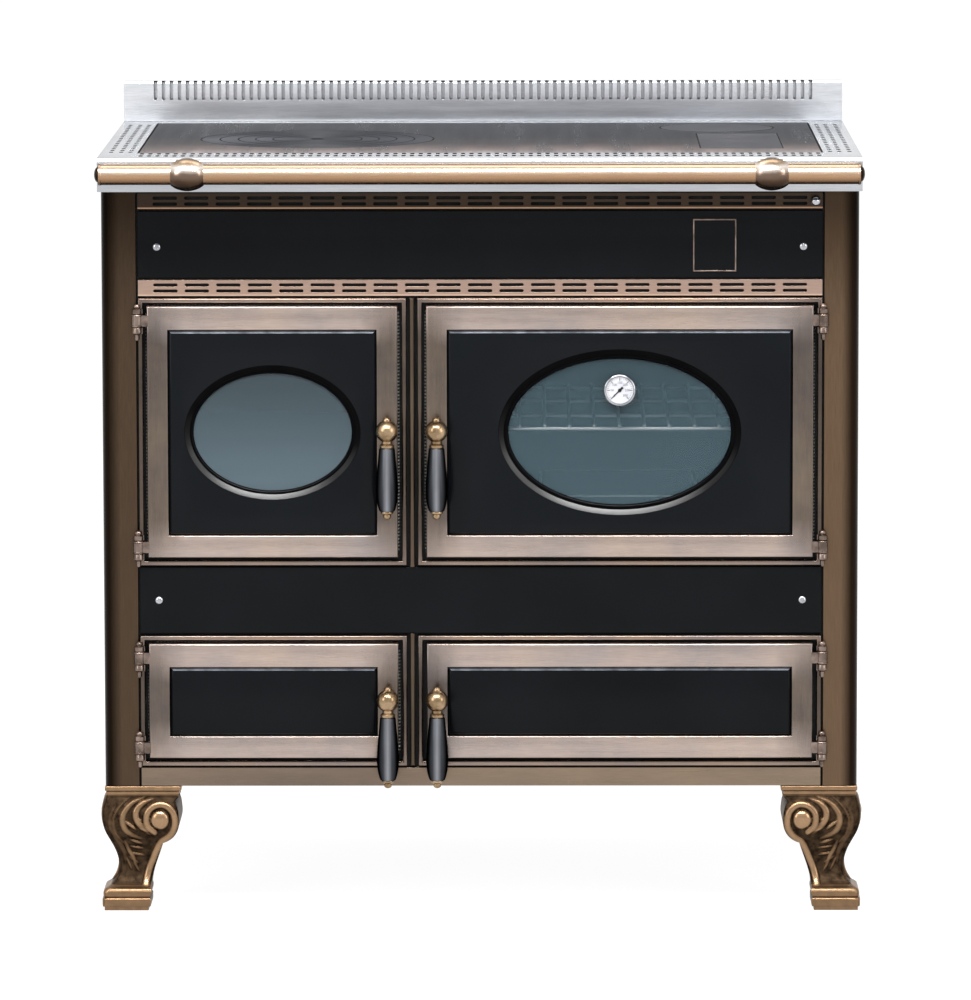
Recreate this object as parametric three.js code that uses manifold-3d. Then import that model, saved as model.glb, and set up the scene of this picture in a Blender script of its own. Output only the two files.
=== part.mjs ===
// Wood cookstove with a firebox, an oven, an ash box and a storage box, on four cast legs.
// Millimetres, +Z up. The doors face -Y, X runs from side to side, and the floor is Z = 0.
import * as THREE from 'three';
import { mergeVertices } from 'three/addons/utils/BufferGeometryUtils.js';
import Module from 'manifold-3d';

const wasm = await Module();
wasm.setup();

// ---------------------------------------------------------------- driving dimensions

// Fits
const seat = 0.3; // gap between pieces that rest on each other
const cutPast = 1; // how far a cutter runs past the face that it opens

// Height of each band of the front, from the floor up
const legHeight = 150;
const seam = 2.5; // shadow gap between bands
const bottomRailHeight = 22.3;
const lowerBayHeight = 156.5;
const fasciaPanelHeight = 79.2;
const upperBayHeight = 318.5;
const grilleHeight = 19;
const casingReveal = 3.7; // top grille to the underside of the worktop
const worktopFascia = 40;
const backsplashHeight = 50;

// Plan sizes
const worktopWidth = 900;
const casingInset = 1.8; // each side of the casing stands in from the worktop
const bodySetback = 35; // front of the casing behind the front edge of the worktop
const rearOverhang = 25;
const pillarWidth = 41.2;
const pillarDepth = 45;
const pillarRadius = 13;
const pillarSheet = 3;
const foldDepth = 10; // panels stand this far in front of the carcass
const backFold = 20;
const sheet = 2; // folded casing sheet
const carcassPlate = 4; // welded carcass plate
const sideGap = 18; // air space between casing and carcass

// Worktop and backsplash
const worktopSheet = 3;
const worktopEdgeRadius = 6;
const backsplashDepth = 20;
const combPitch = 10;
const combMargin = 35; // end of the slots from the side of the worktop
const combSlotWidth = 4;
const combSlotDepth = 23.5;
const combReach = 13; // slot length along the top of the backsplash

// Hob plate, rings and covers
const hobSideMargin = 45;
const hobDepth = 480;
const hobFrontMargin = 75;
const hobGap = 1.5;
const hobThickness = 10;
const hobCorner = 5;
const lipDepth = 4; // rebate that carries a ring or a cover
const lipWidth = 6;
const ringFromLeft = 206;
const ringFromFront = 223;
const ringRadii = [141, 118, 96, 75, 54];
const discSocketRadius = 8;
const discSocketDepth = 3;
const flueCapRadius = 70;
const flueCapFromRight = 115;
const flueCapFromBack = 80;
const cleaningWidth = 98;
const cleaningToFlue = 25; // cleaning cover to the front of the flue cap
const cleaningFromRight = 93;
const cleaningFromFront = 69;
const roundSides = 24;
const boreSides = 12;

// Towel rail
const railRadius = 12;
const railOverhang = 1; // each end of the rail past the side of the worktop
const railEndLength = 8;
const railCollarRadius = 12.8;
const railSides = 12;
const railStandoff = 37; // rail axis in front of the worktop
const railDrop = 16.5; // rail axis below the worktop
const supportFromEnd = 109; // middle of a support from the end of the rail
const supportRadius = 19.5;
const supportHalfLength = 19.25;
const supportEndRadius = 14;
const supportStemRadius = 9;
const supportBaseRadius = 14;
const supportBaseThickness = 3;

// Bays, beads and grilles
const fireboxShare = 0.4; // part of the front's width that lies left of the mullion
const mullionWidth = 5.6;
const mullionProud = 3;
const bayToMullion = 6.6; // mullion axis to the edge of a bay
const beadWidth = 5.5;
const beadProud = 5;
const slotPitch = 37.2;
const slotLength = 28.8;
const slotHeight = 3.6;
const slotRowSpacing = 7.1;

// Doors
const doorGap = 4.7;
const doorProud = 12;
const doorThickness = 15.5;
const doorRound = 2.5;
const stileWidth = 24.9;
const doorRailWidth = 26.7;
const rebateWidth = 5;
const rebateDepth = 4.7;
const panelRecess = 3;
const panelBevel = 4;
const panelBevelDepth = 2;
const windowBevelDepth = 5;
const glassThickness = 4;
const glassMargin = 14;
const fireboxWindow = { sideMargin: 28.4, topMargin: 51.3, bevel: 8.5 };
const ovenWindow = { sideMargin: 71.3, topMargin: 34.3, bevel: 10 };
const ovalSides = 28;
const lipInset = 6.5; // edge of a doorway inside the edge of its door
const ropeInset = 1; // rope seal axis inside the edge of its door

// Hinges
const pinOffset = 1.1; // pin axis outside the edge of the bay
const pinProud = 8;
const pinRadius = 3;
const barrelRadius = 7;
const barrelHeight = 15.4;
const knuckleRadius = 5.75;
const upperKnuckle = 6.5;
const lowerKnuckle = 8;
const knobHeight = 5.5;
const tailLength = 7.7;
const tailRadius = 2.4;
const lugThickness = 7;
const hingeFromTop = 15.8;
const hingeFromBottom = 12.4;
const hingeSides = 8;

// Handles
const handleRise = 4; // handle pivot above the middle of its door
const ballRadius = 13.25;
const ballStandoff = 19; // ball centre in front of the door
const handleLength = 105; // ball centre to the tip of the finial
const gripTop = 20;
const gripBottom = 95;
const gripRadius = 13.2;
const gripEndRadius = 9.2;
const gripBelly = 23; // widest part of the grip above its lower end
const rodRadius = 3.5;
const spindleRadius = 5;
const shoulderRadius = 7;
const camReach = 9.5;
const camHeight = 8;
const camThickness = 2.7;
const handleSides = 8;

// Oven fittings
const ovenDepth = 476;
const smokeGap = 31; // smoke path between the oven and the back of the carcass
const rackFromTop = 147;
const rackPitch = 29.7;
const rackRods = 13;
const rackRodRadius = 2.2;
const rackBarRadius = 2.5;
const rackMargin = 4;
const wireSides = 4;
const runnerWidth = 8;
const runnerHeight = 4;
const runnerSpacing = 82;
const thermometerRadius = 19;
const thermometerRise = 50; // dial above the middle of the oven door
const thermometerDepth = 8;
const dialRadius = 16.2;
const dialRecess = 1.6;
const stemRadius = 4;
const stemLength = 22;
const dialSides = 14;
const nutRadius = 8;
const nutThickness = 3;
const needleLength = 13;
const needleTail = 5;
const needleHubRadius = 2.2;
const needlePinRadius = 0.8;
const needleThickness = 0.8;

// Firebox, ash pan and smoke path
const deckRise = 8; // firebox floor above the lower bay
const brickWall = 30;
const chamberInset = 16.8; // fire chamber inside the edge of the doorway
const chamberDepth = 430;
const brickToBack = 5; // least space between the bricks and the back of the carcass
const brickFloor = 52;
const brickTop = 362;
const brickSill = 45;
const grateHalfWidth = 75;
const grateLength = 280;
const grateThickness = 14;
const grateLedge = 10;
const grateSlots = 9;
const grateSlotWidth = 7;
const grateRim = 14;
const panInset = 9.8; // ash pan inside the edge of the doorway
const panDepth = 410;
const panHeight = 74;
const panFrontGap = 16; // ash pan behind the doorway plate
const panLip = 9;
const bridgeHeight = 45; // smoke opening above the oven
const flueBoxDepth = 163;
const flueBoxLeft = 75; // left wall of the flue box from the flue axis
const flueFloorRise = 24; // flue box floor above the oven
const collarRadius = 65;
const collarWall = 3;
const collarTopGap = 8; // collar below the top of the casing
const collarLength = 20;
const collarSides = 16;
const bypassInset = 8.5; // bypass rod from the end of the grille
const bypassRodRadius = 3;
const bypassKnobRadius = 6;
const bypassKnobProud = 9;
const bypassHole = { width: 88, height: 100 };
const damperThickness = 3;
const damperMargin = 4;
const legPadSize = 90;

// ---------------------------------------------------------------- layout

const band = (bottom, height) => ({ bottom, top: bottom + height });
const casingBottom = legHeight + seat;
const bottomRail = band(casingBottom, bottomRailHeight);
const lowerBay = band(bottomRail.top + seam, lowerBayHeight);
const middleFascia = band(lowerBay.top + seam, fasciaPanelHeight);
const upperBay = band(middleFascia.top + seam, upperBayHeight);
const lowerGrille = band(upperBay.top + seam, grilleHeight);
const upperFascia = band(lowerGrille.top + seam, fasciaPanelHeight);
const upperGrille = band(upperFascia.top + seam, grilleHeight);
const casingTop = upperGrille.top + casingReveal;
const worktopTop = casingTop + seat + worktopFascia;

const brickDepth = chamberDepth + 2 * brickWall;
const roomDepth = Math.max(ovenDepth + smokeGap, seat + brickDepth + brickToBack);
const casingDepth = foldDepth + roomDepth + 2 * carcassPlate + backFold;
const worktopDepth = bodySetback + casingDepth + rearOverhang;

const railReach = railStandoff + supportRadius;
const frontEdge = (railReach - worktopDepth) / 2;
const rearEdge = frontEdge + worktopDepth;
const casingFront = frontEdge + bodySetback;
const casingBack = casingFront + casingDepth;
const carcassFront = casingFront + foldDepth;
const carcassBack = casingBack - backFold;

const worktopHalf = worktopWidth / 2;
const casingHalf = worktopHalf - casingInset;
const pillarInner = casingHalf - pillarWidth;
const bayHalf = pillarInner - seam;
const mullionX = (2 * fireboxShare - 1) * bayHalf;
const slotCount = Math.floor((2 * bayHalf) / slotPitch);
const combCount = Math.floor((worktopWidth - 2 * combMargin) / combPitch);
const railHalfLength = worktopHalf + railOverhang;
const supportX = railHalfLength - supportFromEnd;
const carcassHalf = casingHalf - sideGap;

const inset = (area, dx, dz = dx) => ({
  x0: area.x0 + dx,
  x1: area.x1 - dx,
  z0: area.z0 + dz,
  z1: area.z1 - dz,
});
const middle = (a, b) => (a + b) / 2;
const halfWidth = (area) => (area.x1 - area.x0) / 2;
const halfHeight = (area) => (area.z1 - area.z0) / 2;
const leftColumn = { x0: -bayHalf, x1: mullionX - bayToMullion };
const rightColumn = { x0: mullionX + bayToMullion, x1: bayHalf };

// A door, its doorway and its hinge line. side is -1 where the hinges are on the left.
function doorway(name, column, bay, side, window = null) {
  const area = { ...column, z0: bay.bottom, z1: bay.top };
  const leaf = inset(area, beadWidth + doorGap);
  const opening = inset(leaf, stileWidth, doorRailWidth);
  const freeEdge = side < 0 ? leaf.x1 : leaf.x0;
  return {
    name,
    side,
    window: window && {
      rx: halfWidth(opening) - window.sideMargin,
      rz: halfHeight(opening) - window.topMargin,
      bevel: window.bevel,
    },
    bay: area,
    leaf,
    opening,
    lip: inset(leaf, lipInset),
    centreX: middle(leaf.x0, leaf.x1),
    centreZ: middle(leaf.z0, leaf.z1),
    pinX: side * (bayHalf + pinOffset),
    hinges: [leaf.z1 - hingeFromTop, leaf.z0 + hingeFromBottom],
    handleX: freeEdge + (side * stileWidth) / 2,
    handleZ: middle(leaf.z0, leaf.z1) + handleRise,
  };
}

const firebox = doorway('firebox', leftColumn, upperBay, -1, fireboxWindow);
const oven = doorway('oven', rightColumn, upperBay, 1, ovenWindow);
const ash = doorway('ash', leftColumn, lowerBay, -1);
const storage = doorway('storage', rightColumn, lowerBay, 1);
const doorways = [firebox, oven, ash, storage];

const doorFace = casingFront - doorProud;
const doorBack = doorFace + doorThickness;
const pinY = casingFront - pinProud;
const ballY = doorFace - ballStandoff;
const panelFace = doorFace + panelRecess;
const rebateFace = doorBack - rebateDepth;
const glassFace = doorBack - glassThickness - seat;
const camFront = carcassFront;

const hobTop = worktopTop - seat;
const carcassTop = hobTop - hobThickness - seat;
const hobX = hobSideMargin - worktopHalf;
const hobY = frontEdge + hobFrontMargin;
const ringX = hobX + ringFromLeft;
const ringY = hobY + ringFromFront;
const flueX = -hobX - flueCapFromRight;
const flueY = hobY + hobDepth - flueCapFromBack;
const cleaningX = -hobX - cleaningFromRight;
const cleaningLength = hobDepth - cleaningFromFront - cleaningToFlue - flueCapRadius - flueCapFromBack;

const chamberHalfWidth = halfWidth(firebox.lip) - chamberInset;
const panHalfWidth = halfWidth(ash.lip) - panInset;
const wallX = mullionX;
const floorTop = storage.lip.z0;
const deck = lowerBay.top + deckRise;
const deckTop = deck + carcassPlate;
const ovenTop = oven.lip.z1 + carcassPlate;
const ovenBack = carcassFront + carcassPlate + ovenDepth;
const collarZ = casingTop - collarTopGap - collarRadius;
const bypassX = bayHalf - bypassInset;
const bypassZ = middle(upperGrille.bottom, upperGrille.top);

// ---------------------------------------------------------------- solids

// One closed, outward-facing surface with shared vertices and no collapsed faces.
function weld(geometry) {
  const loose = geometry.index ? geometry.toNonIndexed() : geometry;
  const bare = new THREE.BufferGeometry();
  bare.setAttribute('position', loose.getAttribute('position').clone());
  const welded = mergeVertices(bare, 1e-4);
  const corner = welded.index.array;
  const points = welded.getAttribute('position');
  const faces = [];
  let volume = 0;
  const [a, b, c] = [new THREE.Vector3(), new THREE.Vector3(), new THREE.Vector3()];
  for (let i = 0; i < corner.length; i += 3) {
    const [p, q, r] = [corner[i], corner[i + 1], corner[i + 2]];
    if (p === q || q === r || r === p) continue;
    faces.push(p, q, r);
    a.fromBufferAttribute(points, p);
    b.fromBufferAttribute(points, q);
    c.fromBufferAttribute(points, r);
    volume += a.dot(b.cross(c));
  }
  welded.setIndex(volume < 0 ? faces.reverse() : faces);
  return welded;
}

function toSolid(geometry) {
  const welded = weld(geometry);
  return new wasm.Manifold(new wasm.Mesh({
    numProp: 3,
    vertProperties: new Float32Array(welded.getAttribute('position').array),
    triVerts: new Uint32Array(welded.index.array),
  }));
}

function toGeometry(solid) {
  const mesh = solid.getMesh();
  const geometry = new THREE.BufferGeometry();
  geometry.setAttribute('position', new THREE.BufferAttribute(new Float32Array(mesh.vertProperties), 3));
  geometry.setIndex(new THREE.BufferAttribute(new Uint32Array(mesh.triVerts), 1));
  return geometry;
}

function cut(body, ...tools) {
  return toGeometry(tools.reduce((solid, tool) => solid.subtract(toSolid(tool)), toSolid(body)));
}

function join(body, ...others) {
  return toGeometry(others.reduce((solid, other) => solid.add(toSolid(other)), toSolid(body)));
}

function common(body, other) {
  return toGeometry(toSolid(body).intersect(toSolid(other)));
}

function box(x0, x1, y0, y1, z0, z1) {
  const block = new THREE.BoxGeometry(x1 - x0, y1 - y0, z1 - z0);
  return block.translate(middle(x0, x1), middle(y0, y1), middle(z0, z1));
}

const boxOver = (area, y0, y1) => box(area.x0, area.x1, y0, y1, area.z0, area.z1);

// Closed outline of a rectangle, with round corners where a radius is given.
function rectangle(x0, x1, z0, z1, radius = 0) {
  const outline = new THREE.Shape();
  if (radius === 0) {
    outline.moveTo(x0, z0);
    outline.lineTo(x1, z0);
    outline.lineTo(x1, z1);
    outline.lineTo(x0, z1);
  } else {
    outline.absarc(x1 - radius, z0 + radius, radius, -Math.PI / 2, 0);
    outline.absarc(x1 - radius, z1 - radius, radius, 0, Math.PI / 2);
    outline.absarc(x0 + radius, z1 - radius, radius, Math.PI / 2, Math.PI);
    outline.absarc(x0 + radius, z0 + radius, radius, Math.PI, Math.PI * 1.5);
  }
  outline.closePath();
  return outline;
}

const outlineOf = (area, radius) => rectangle(area.x0, area.x1, area.z0, area.z1, radius);

function ring(outer, inner, radius = 0, innerRadius = radius) {
  const outline = outlineOf(outer, radius);
  outline.holes.push(outlineOf(inner, innerRadius));
  return outline;
}

// Extrudes an (X, Z) outline between the front plane y0 and the back plane y1.
function facingFront(outline, y0, y1, { bevel = 0, bevelDepth = bevel, steps = 1, curve = 2 } = {}) {
  const solid = new THREE.ExtrudeGeometry(outline, {
    depth: y1 - y0 - 2 * bevelDepth,
    bevelEnabled: bevel > 0,
    bevelThickness: bevelDepth,
    bevelSize: bevel,
    bevelOffset: -bevel,
    bevelSegments: steps,
    curveSegments: curve,
  });
  solid.rotateX(Math.PI / 2);
  return solid.translate(0, y1 - bevelDepth, 0);
}

// Extrudes an (X, Y) outline upwards from z0 to z1.
function facingUp(outline, z0, z1, curve = 2) {
  const solid = new THREE.ExtrudeGeometry(outline, {
    depth: z1 - z0,
    bevelEnabled: false,
    curveSegments: curve,
  });
  return solid.translate(0, 0, z0);
}

// Extrudes a (Y, Z) outline from x0 to x1.
function facingSide(outline, x0, x1, curve = 2) {
  const solid = new THREE.ExtrudeGeometry(outline, {
    depth: x1 - x0,
    bevelEnabled: false,
    curveSegments: curve,
  });
  const turn = new THREE.Matrix4().makeBasis(
    new THREE.Vector3(0, 1, 0),
    new THREE.Vector3(0, 0, 1),
    new THREE.Vector3(1, 0, 0),
  );
  solid.applyMatrix4(turn);
  return solid.translate(x0, 0, 0);
}

// Revolves a profile of [radius, height] points about the named axis through the point at.
function turned(profile, axis, at, sides) {
  const points = profile.map(([radius, height]) => new THREE.Vector2(radius, height));
  const solid = new THREE.LatheGeometry(points, sides);
  if (axis === 'z') solid.rotateX(Math.PI / 2);
  if (axis === 'x') solid.rotateZ(-Math.PI / 2);
  return solid.translate(...at);
}

const disc = (radius, h0, h1) => [[0, h0], [radius, h0], [radius, h1], [0, h1]];
const tube = (inner, outer, h0, h1) =>
  [[inner, h0], [outer, h0], [outer, h1], [inner, h1], [inner, h0]];

// ---------------------------------------------------------------- finishes

function finish(color, roughness, metalness) {
  return new THREE.MeshStandardMaterial({ color, roughness, metalness });
}

const stainless = finish(0xcfd2d4, 0.3, 1);
const groundIron = finish(0x77787a, 0.42, 0.9);
const castIron = finish(0x2a2a2b, 0.8, 0.6);
const blackEnamel = finish(0x0c0d0f, 0.35, 0.1);
const carcassSteel = finish(0x1b1b1c, 0.7, 0.5);
const patina = finish(0x7b6450, 0.38, 0.9);
const copper = finish(0xa8805a, 0.3, 1);
const agedBrass = finish(0x8a6f4c, 0.35, 1);
const charcoal = finish(0x2f3133, 0.5, 0.1);
const firebrick = finish(0xb9a58a, 0.95, 0);
const chrome = finish(0xd8dadc, 0.12, 1);
const rope = finish(0x24211f, 0.95, 0);
const darkGlass = finish(0x3a4b52, 0.05, 0);
const needleRed = finish(0x1a1a1a, 0.5, 0.2);

const stove = new THREE.Group();

// Adds one named piece with flat-shaded faces.
function add(name, geometry, material) {
  const faceted = weld(geometry).toNonIndexed();
  faceted.computeVertexNormals();
  const piece = new THREE.Mesh(faceted, material);
  piece.name = name;
  stove.add(piece);
}

// ---------------------------------------------------------------- casing

// A shallow tray: a front sheet with folds on all four sides, open towards the carcass.
function tray(area) {
  const back = carcassFront - seat;
  const outer = boxOver(area, casingFront, back);
  const hollow = boxOver(inset(area, sheet), casingFront + sheet, back + cutPast);
  return cut(outer, hollow);
}

const bandArea = ({ bottom, top }) => ({ x0: -bayHalf, x1: bayHalf, z0: bottom, z1: top });

function mullionPassage() {
  const half = mullionWidth / 2 + seat;
  return box(mullionX - half, mullionX + half, casingFront + sheet, carcassFront,
    middleFascia.bottom - cutPast, middleFascia.top + cutPast);
}

// Two rows of slots through the front sheet of a grille.
function grille(area) {
  const slots = [];
  for (let column = 0; column < slotCount; column += 1) {
    const x = (column - (slotCount - 1) / 2) * slotPitch;
    for (const row of [-0.5, 0.5]) {
      const z = middle(area.z0, area.z1) + row * slotRowSpacing;
      slots.push(box(x - slotLength / 2, x + slotLength / 2, casingFront - cutPast,
        casingFront + sheet + cutPast, z - slotHeight / 2, z + slotHeight / 2));
    }
  }
  return cut(tray(area), ...slots);
}

const rodHole = bypassRodRadius + 2 * seat;

function bypassDrill(y0, y1) {
  return turned(disc(rodHole, y0, y1), 'y', [bypassX, 0, bypassZ], handleSides);
}

function pillar(side) {
  const [x0, x1, y0] = [pillarInner, casingHalf, casingFront];
  const foldBack = carcassFront - seat;
  const inner = pillarRadius - pillarSheet;
  const centre = [x1 - pillarRadius, y0 + pillarRadius];
  const outline = new THREE.Shape();
  outline.moveTo(x0, foldBack);
  outline.lineTo(x0, y0);
  outline.absarc(...centre, pillarRadius, -Math.PI / 2, 0);
  outline.lineTo(x1, y0 + pillarDepth);
  outline.lineTo(x1 - pillarSheet, y0 + pillarDepth);
  outline.absarc(...centre, inner, 0, -Math.PI / 2, true);
  outline.lineTo(x0 + pillarSheet, y0 + pillarSheet);
  outline.lineTo(x0 + pillarSheet, foldBack);
  outline.closePath();
  return facingUp(outline, casingBottom, casingTop, 3).scale(side, 1, 1);
}

function sidePanel(side) {
  const y0 = casingFront + pillarDepth + seat;
  const x0 = carcassHalf + seat;
  const outer = box(x0, casingHalf, y0, casingBack, casingBottom, casingTop);
  const hollow = box(x0 - cutPast, casingHalf - sheet, y0 + sheet, casingBack - sheet,
    casingBottom + sheet, casingTop - sheet);
  return cut(outer, hollow).scale(side, 1, 1);
}

function backPanel() {
  const y0 = carcassBack + seat;
  const outer = box(-carcassHalf, carcassHalf, y0, casingBack, casingBottom, casingTop);
  const hollow = box(-carcassHalf + sheet, carcassHalf - sheet, y0 - cutPast, casingBack - sheet,
    casingBottom + sheet, casingTop - sheet);
  const hole = turned(disc(collarRadius + 2 * seat, y0, casingBack + cutPast), 'y',
    [flueX, 0, collarZ], collarSides);
  return cut(outer, hollow, hole);
}

function mullion() {
  const bar = facingFront(
    rectangle(mullionX - mullionWidth / 2, mullionX + mullionWidth / 2, lowerBay.bottom, upperBay.top),
    casingFront - mullionProud, carcassFront - seat, { bevel: 1 });
  const clearance = box(mullionX - mullionWidth, mullionX + mullionWidth,
    casingFront - mullionProud - cutPast, casingFront + sheet + seat,
    middleFascia.bottom - seat, middleFascia.top + seat);
  return cut(bar, clearance);
}

// ---------------------------------------------------------------- carcass and smoke path

// Smoke rises from the firebox, crosses above the oven, and goes round it to the flue.
function carcass() {
  const front = carcassFront + carcassPlate;
  const back = carcassBack - carcassPlate;
  const side = carcassHalf - carcassPlate;
  const half = carcassPlate / 2;
  const rim = carcassTop - carcassPlate;
  const hobSeat = 2 * lipWidth;
  const rooms = [
    box(-side, side, front, back, casingBottom - cutPast, floorTop - carcassPlate),
    box(-side, wallX - half, front, back, floorTop, deck),
    box(wallX + half, side, front, back, floorTop, deck),
    box(-side, wallX - half, front, back, deckTop, rim),
    box(wallX + half, side, front, back, deckTop, rim),
    box(wallX - carcassPlate, wallX + carcassPlate, front, back, ovenTop + bridgeHeight, rim),
    box(hobX + hobSeat, -hobX - hobSeat, hobY + hobSeat, hobY + hobDepth - hobSeat,
      rim - cutPast, carcassTop + cutPast),
    grateOpening(),
    ...doorways.map(({ lip }) => boxOver(lip, carcassFront - cutPast, front + cutPast)),
    ...doorways.map(camRelief),
  ];
  const shell = cut(box(-carcassHalf, carcassHalf, carcassFront, carcassBack, casingBottom, carcassTop),
    ...rooms);
  const fitted = join(shell, ovenShell(), flueBoxShell(), flueCollar(), ...legPads());
  const opened = cut(fitted, boxOver(oven.lip, carcassFront - cutPast, ovenBack - carcassPlate),
    flueBoxSpace(), flueBore(), bypassOpening(),
    bypassDrill(carcassFront - cutPast, front + cutPast));
  return join(opened, ...rackRunners());
}

// Round pocket that lets the cam of a handle turn in the plane of the doorway plate.
function camRelief({ handleX, handleZ }) {
  const radius = Math.hypot(camReach, camHeight / 2) + 2 * seat;
  return turned(disc(radius, carcassFront - cutPast, camFront + camThickness + 2 * seat), 'y',
    [handleX, 0, handleZ], boreSides);
}

function grateOpening() {
  const half = grateHalfWidth - grateLedge;
  const y0 = grateFront() + grateLedge;
  return box(firebox.centreX - half, firebox.centreX + half, y0, y0 + grateLength - 2 * grateLedge,
    deck - cutPast, deckTop + cutPast);
}

function ovenShell() {
  const walls = inset(oven.lip, -carcassPlate);
  return boxOver(walls, carcassFront + carcassPlate - seat, ovenBack);
}

const flueBoxBack = carcassBack - carcassPlate;
const flueBoxFront = flueBoxBack - flueBoxDepth;
const flueFloor = ovenTop + flueFloorRise;
const flueBoxRight = bypassX + carcassPlate;

function flueBoxShell() {
  return box(flueX - flueBoxLeft, flueBoxRight, flueBoxFront, flueBoxBack + carcassPlate / 2,
    flueFloor, carcassTop);
}

function flueBoxSpace() {
  const space = box(flueX - flueBoxLeft + carcassPlate, flueBoxRight - carcassPlate,
    flueBoxFront + carcassPlate, flueBoxBack, flueFloor + carcassPlate, carcassTop + cutPast);
  const riser = box(flueX - flueBoxLeft + carcassPlate, flueBoxRight - carcassPlate,
    ovenBack, flueBoxBack, flueFloor - cutPast, flueFloor + 2 * carcassPlate);
  return join(space, riser);
}

function flueCollar() {
  return turned(disc(collarRadius, flueBoxBack + carcassPlate / 2, casingBack + collarLength), 'y',
    [flueX, 0, collarZ], collarSides);
}

function flueBore() {
  return turned(disc(collarRadius - collarWall, flueBoxBack - cutPast, casingBack + collarLength + cutPast),
    'y', [flueX, 0, collarZ], collarSides);
}

const bypassArea = {
  x0: bypassX - damperMargin - bypassHole.width,
  x1: bypassX - damperMargin,
  z0: bypassZ + 2 * damperMargin + seam - bypassHole.height,
  z1: bypassZ + 2 * damperMargin + seam,
};

function bypassOpening() {
  return boxOver(bypassArea, flueBoxFront - cutPast, flueBoxFront + carcassPlate + cutPast);
}

// Corner plates that the legs bolt to.
function legPads() {
  const pads = [];
  for (const side of [-1, 1]) {
    for (const y0 of [carcassFront, carcassBack - legPadSize]) {
      const pad = box(carcassHalf - legPadSize, carcassHalf, y0, y0 + legPadSize,
        casingBottom, casingBottom + carcassPlate);
      pads.push(pad.scale(side, 1, 1));
    }
  }
  return pads;
}

const rackZ = oven.leaf.z1 - rackFromTop;

// Three pairs of runners on the oven walls. The rack lies on the middle pair.
function rackRunners() {
  const runners = [];
  const top = rackZ - rackRodRadius - rackBarRadius - seat;
  for (const level of [-1, 0, 1]) {
    const z = top + level * runnerSpacing;
    for (const [x0, x1] of [
      [oven.lip.x0 - carcassPlate / 2, oven.lip.x0 + runnerWidth],
      [oven.lip.x1 - runnerWidth, oven.lip.x1 + carcassPlate / 2],
    ]) {
      runners.push(box(x0, x1, carcassFront + 4 * carcassPlate, ovenBack - 3 * carcassPlate,
        z - runnerHeight, z));
    }
  }
  return runners;
}

// ---------------------------------------------------------------- worktop

function worktopFrame() {
  const under = casingTop + seat;
  const profile = new THREE.Shape();
  profile.moveTo(frontEdge, under);
  profile.lineTo(rearEdge, under);
  profile.lineTo(rearEdge, worktopTop);
  profile.absarc(frontEdge + worktopEdgeRadius, worktopTop - worktopEdgeRadius, worktopEdgeRadius,
    Math.PI / 2, Math.PI);
  profile.closePath();
  const hollow = box(-worktopHalf + worktopSheet, worktopHalf - worktopSheet,
    frontEdge + worktopSheet, rearEdge - worktopSheet, under - cutPast, worktopTop - worktopSheet);
  const edge = frontEdge + worktopSheet;
  const hollowEdge = box(-worktopHalf, worktopHalf, edge, edge + worktopEdgeRadius / 2,
    worktopTop - worktopEdgeRadius, worktopTop - worktopSheet);
  const opening = { x0: hobX - hobGap, x1: -hobX + hobGap, y0: hobY - hobGap, y1: hobY + hobDepth + hobGap };
  const curb = box(opening.x0 - worktopSheet, opening.x1 + worktopSheet, opening.y0 - worktopSheet,
    opening.y1 + worktopSheet, carcassTop + seat, worktopTop - worktopSheet / 2);
  const hole = box(opening.x0, opening.x1, opening.y0, opening.y1, carcassTop, worktopTop + cutPast);
  const folded = cut(facingSide(profile, -worktopHalf, worktopHalf), cut(hollow, hollowEdge));
  return cut(join(folded, curb), hole);
}

// A channel of folded sheet with slots that run over the fold and part way across its top.
function backsplash() {
  const z0 = worktopTop + seat;
  const z1 = z0 + backsplashHeight;
  const front = rearEdge - backsplashDepth;
  const outer = box(-worktopHalf, worktopHalf, front, rearEdge, z0, z1);
  const hollow = box(-worktopHalf + sheet, worktopHalf - sheet, front + sheet, rearEdge - sheet,
    z0 - cutPast, z1 - sheet);
  const slots = [];
  for (let i = 0; i < combCount; i += 1) {
    const x = (i - (combCount - 1) / 2) * combPitch;
    slots.push(box(x - combSlotWidth / 2, x + combSlotWidth / 2, front - cutPast, front + combReach,
      z1 - combSlotDepth, z1 + cutPast));
  }
  return cut(outer, hollow, ...slots);
}

// Stepped hole whose rebate carries a round ring or cover of the given radius.
function roundSeat(radius, x, y) {
  const ledge = hobTop - lipDepth - seat;
  const wide = radius + seat;
  const narrow = radius - lipWidth + seat;
  return turned([[0, carcassTop], [narrow, carcassTop], [narrow, ledge], [wide, ledge],
    [wide, hobTop + cutPast], [0, hobTop + cutPast]], 'z', [x, y, 0], roundSides);
}

const hobBottom = hobTop - hobThickness;

function hobPlate() {
  const plate = facingUp(rectangle(hobX, -hobX, hobY, hobY + hobDepth, hobCorner), hobBottom, hobTop, 1);
  const cover = cleaningArea(seat);
  const ledge = hobTop - lipDepth - seat;
  const wide = box(cover.x0, cover.x1, cover.y0, cover.y1, ledge, hobTop + cutPast);
  const narrow = box(cover.x0 + lipWidth, cover.x1 - lipWidth, cover.y0 + lipWidth, cover.y1 - lipWidth,
    carcassTop, hobTop + cutPast);
  return cut(plate, roundSeat(ringRadii[0], ringX, ringY), roundSeat(flueCapRadius, flueX, flueY),
    wide, narrow);
}

// A ring hangs by its lip in the next larger one and carries the next smaller one.
function hobRing(outer, inner) {
  const lip = hobTop - lipDepth;
  const body = outer - lipWidth;
  const bore = inner - lipWidth + seat;
  const ledge = lip - seat;
  return turned([[bore, hobBottom], [body, hobBottom], [body, lip], [outer, lip], [outer, hobTop],
    [inner + seat, hobTop], [inner + seat, ledge], [bore, ledge], [bore, hobBottom]],
  'z', [ringX, ringY, 0], roundSides);
}

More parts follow.
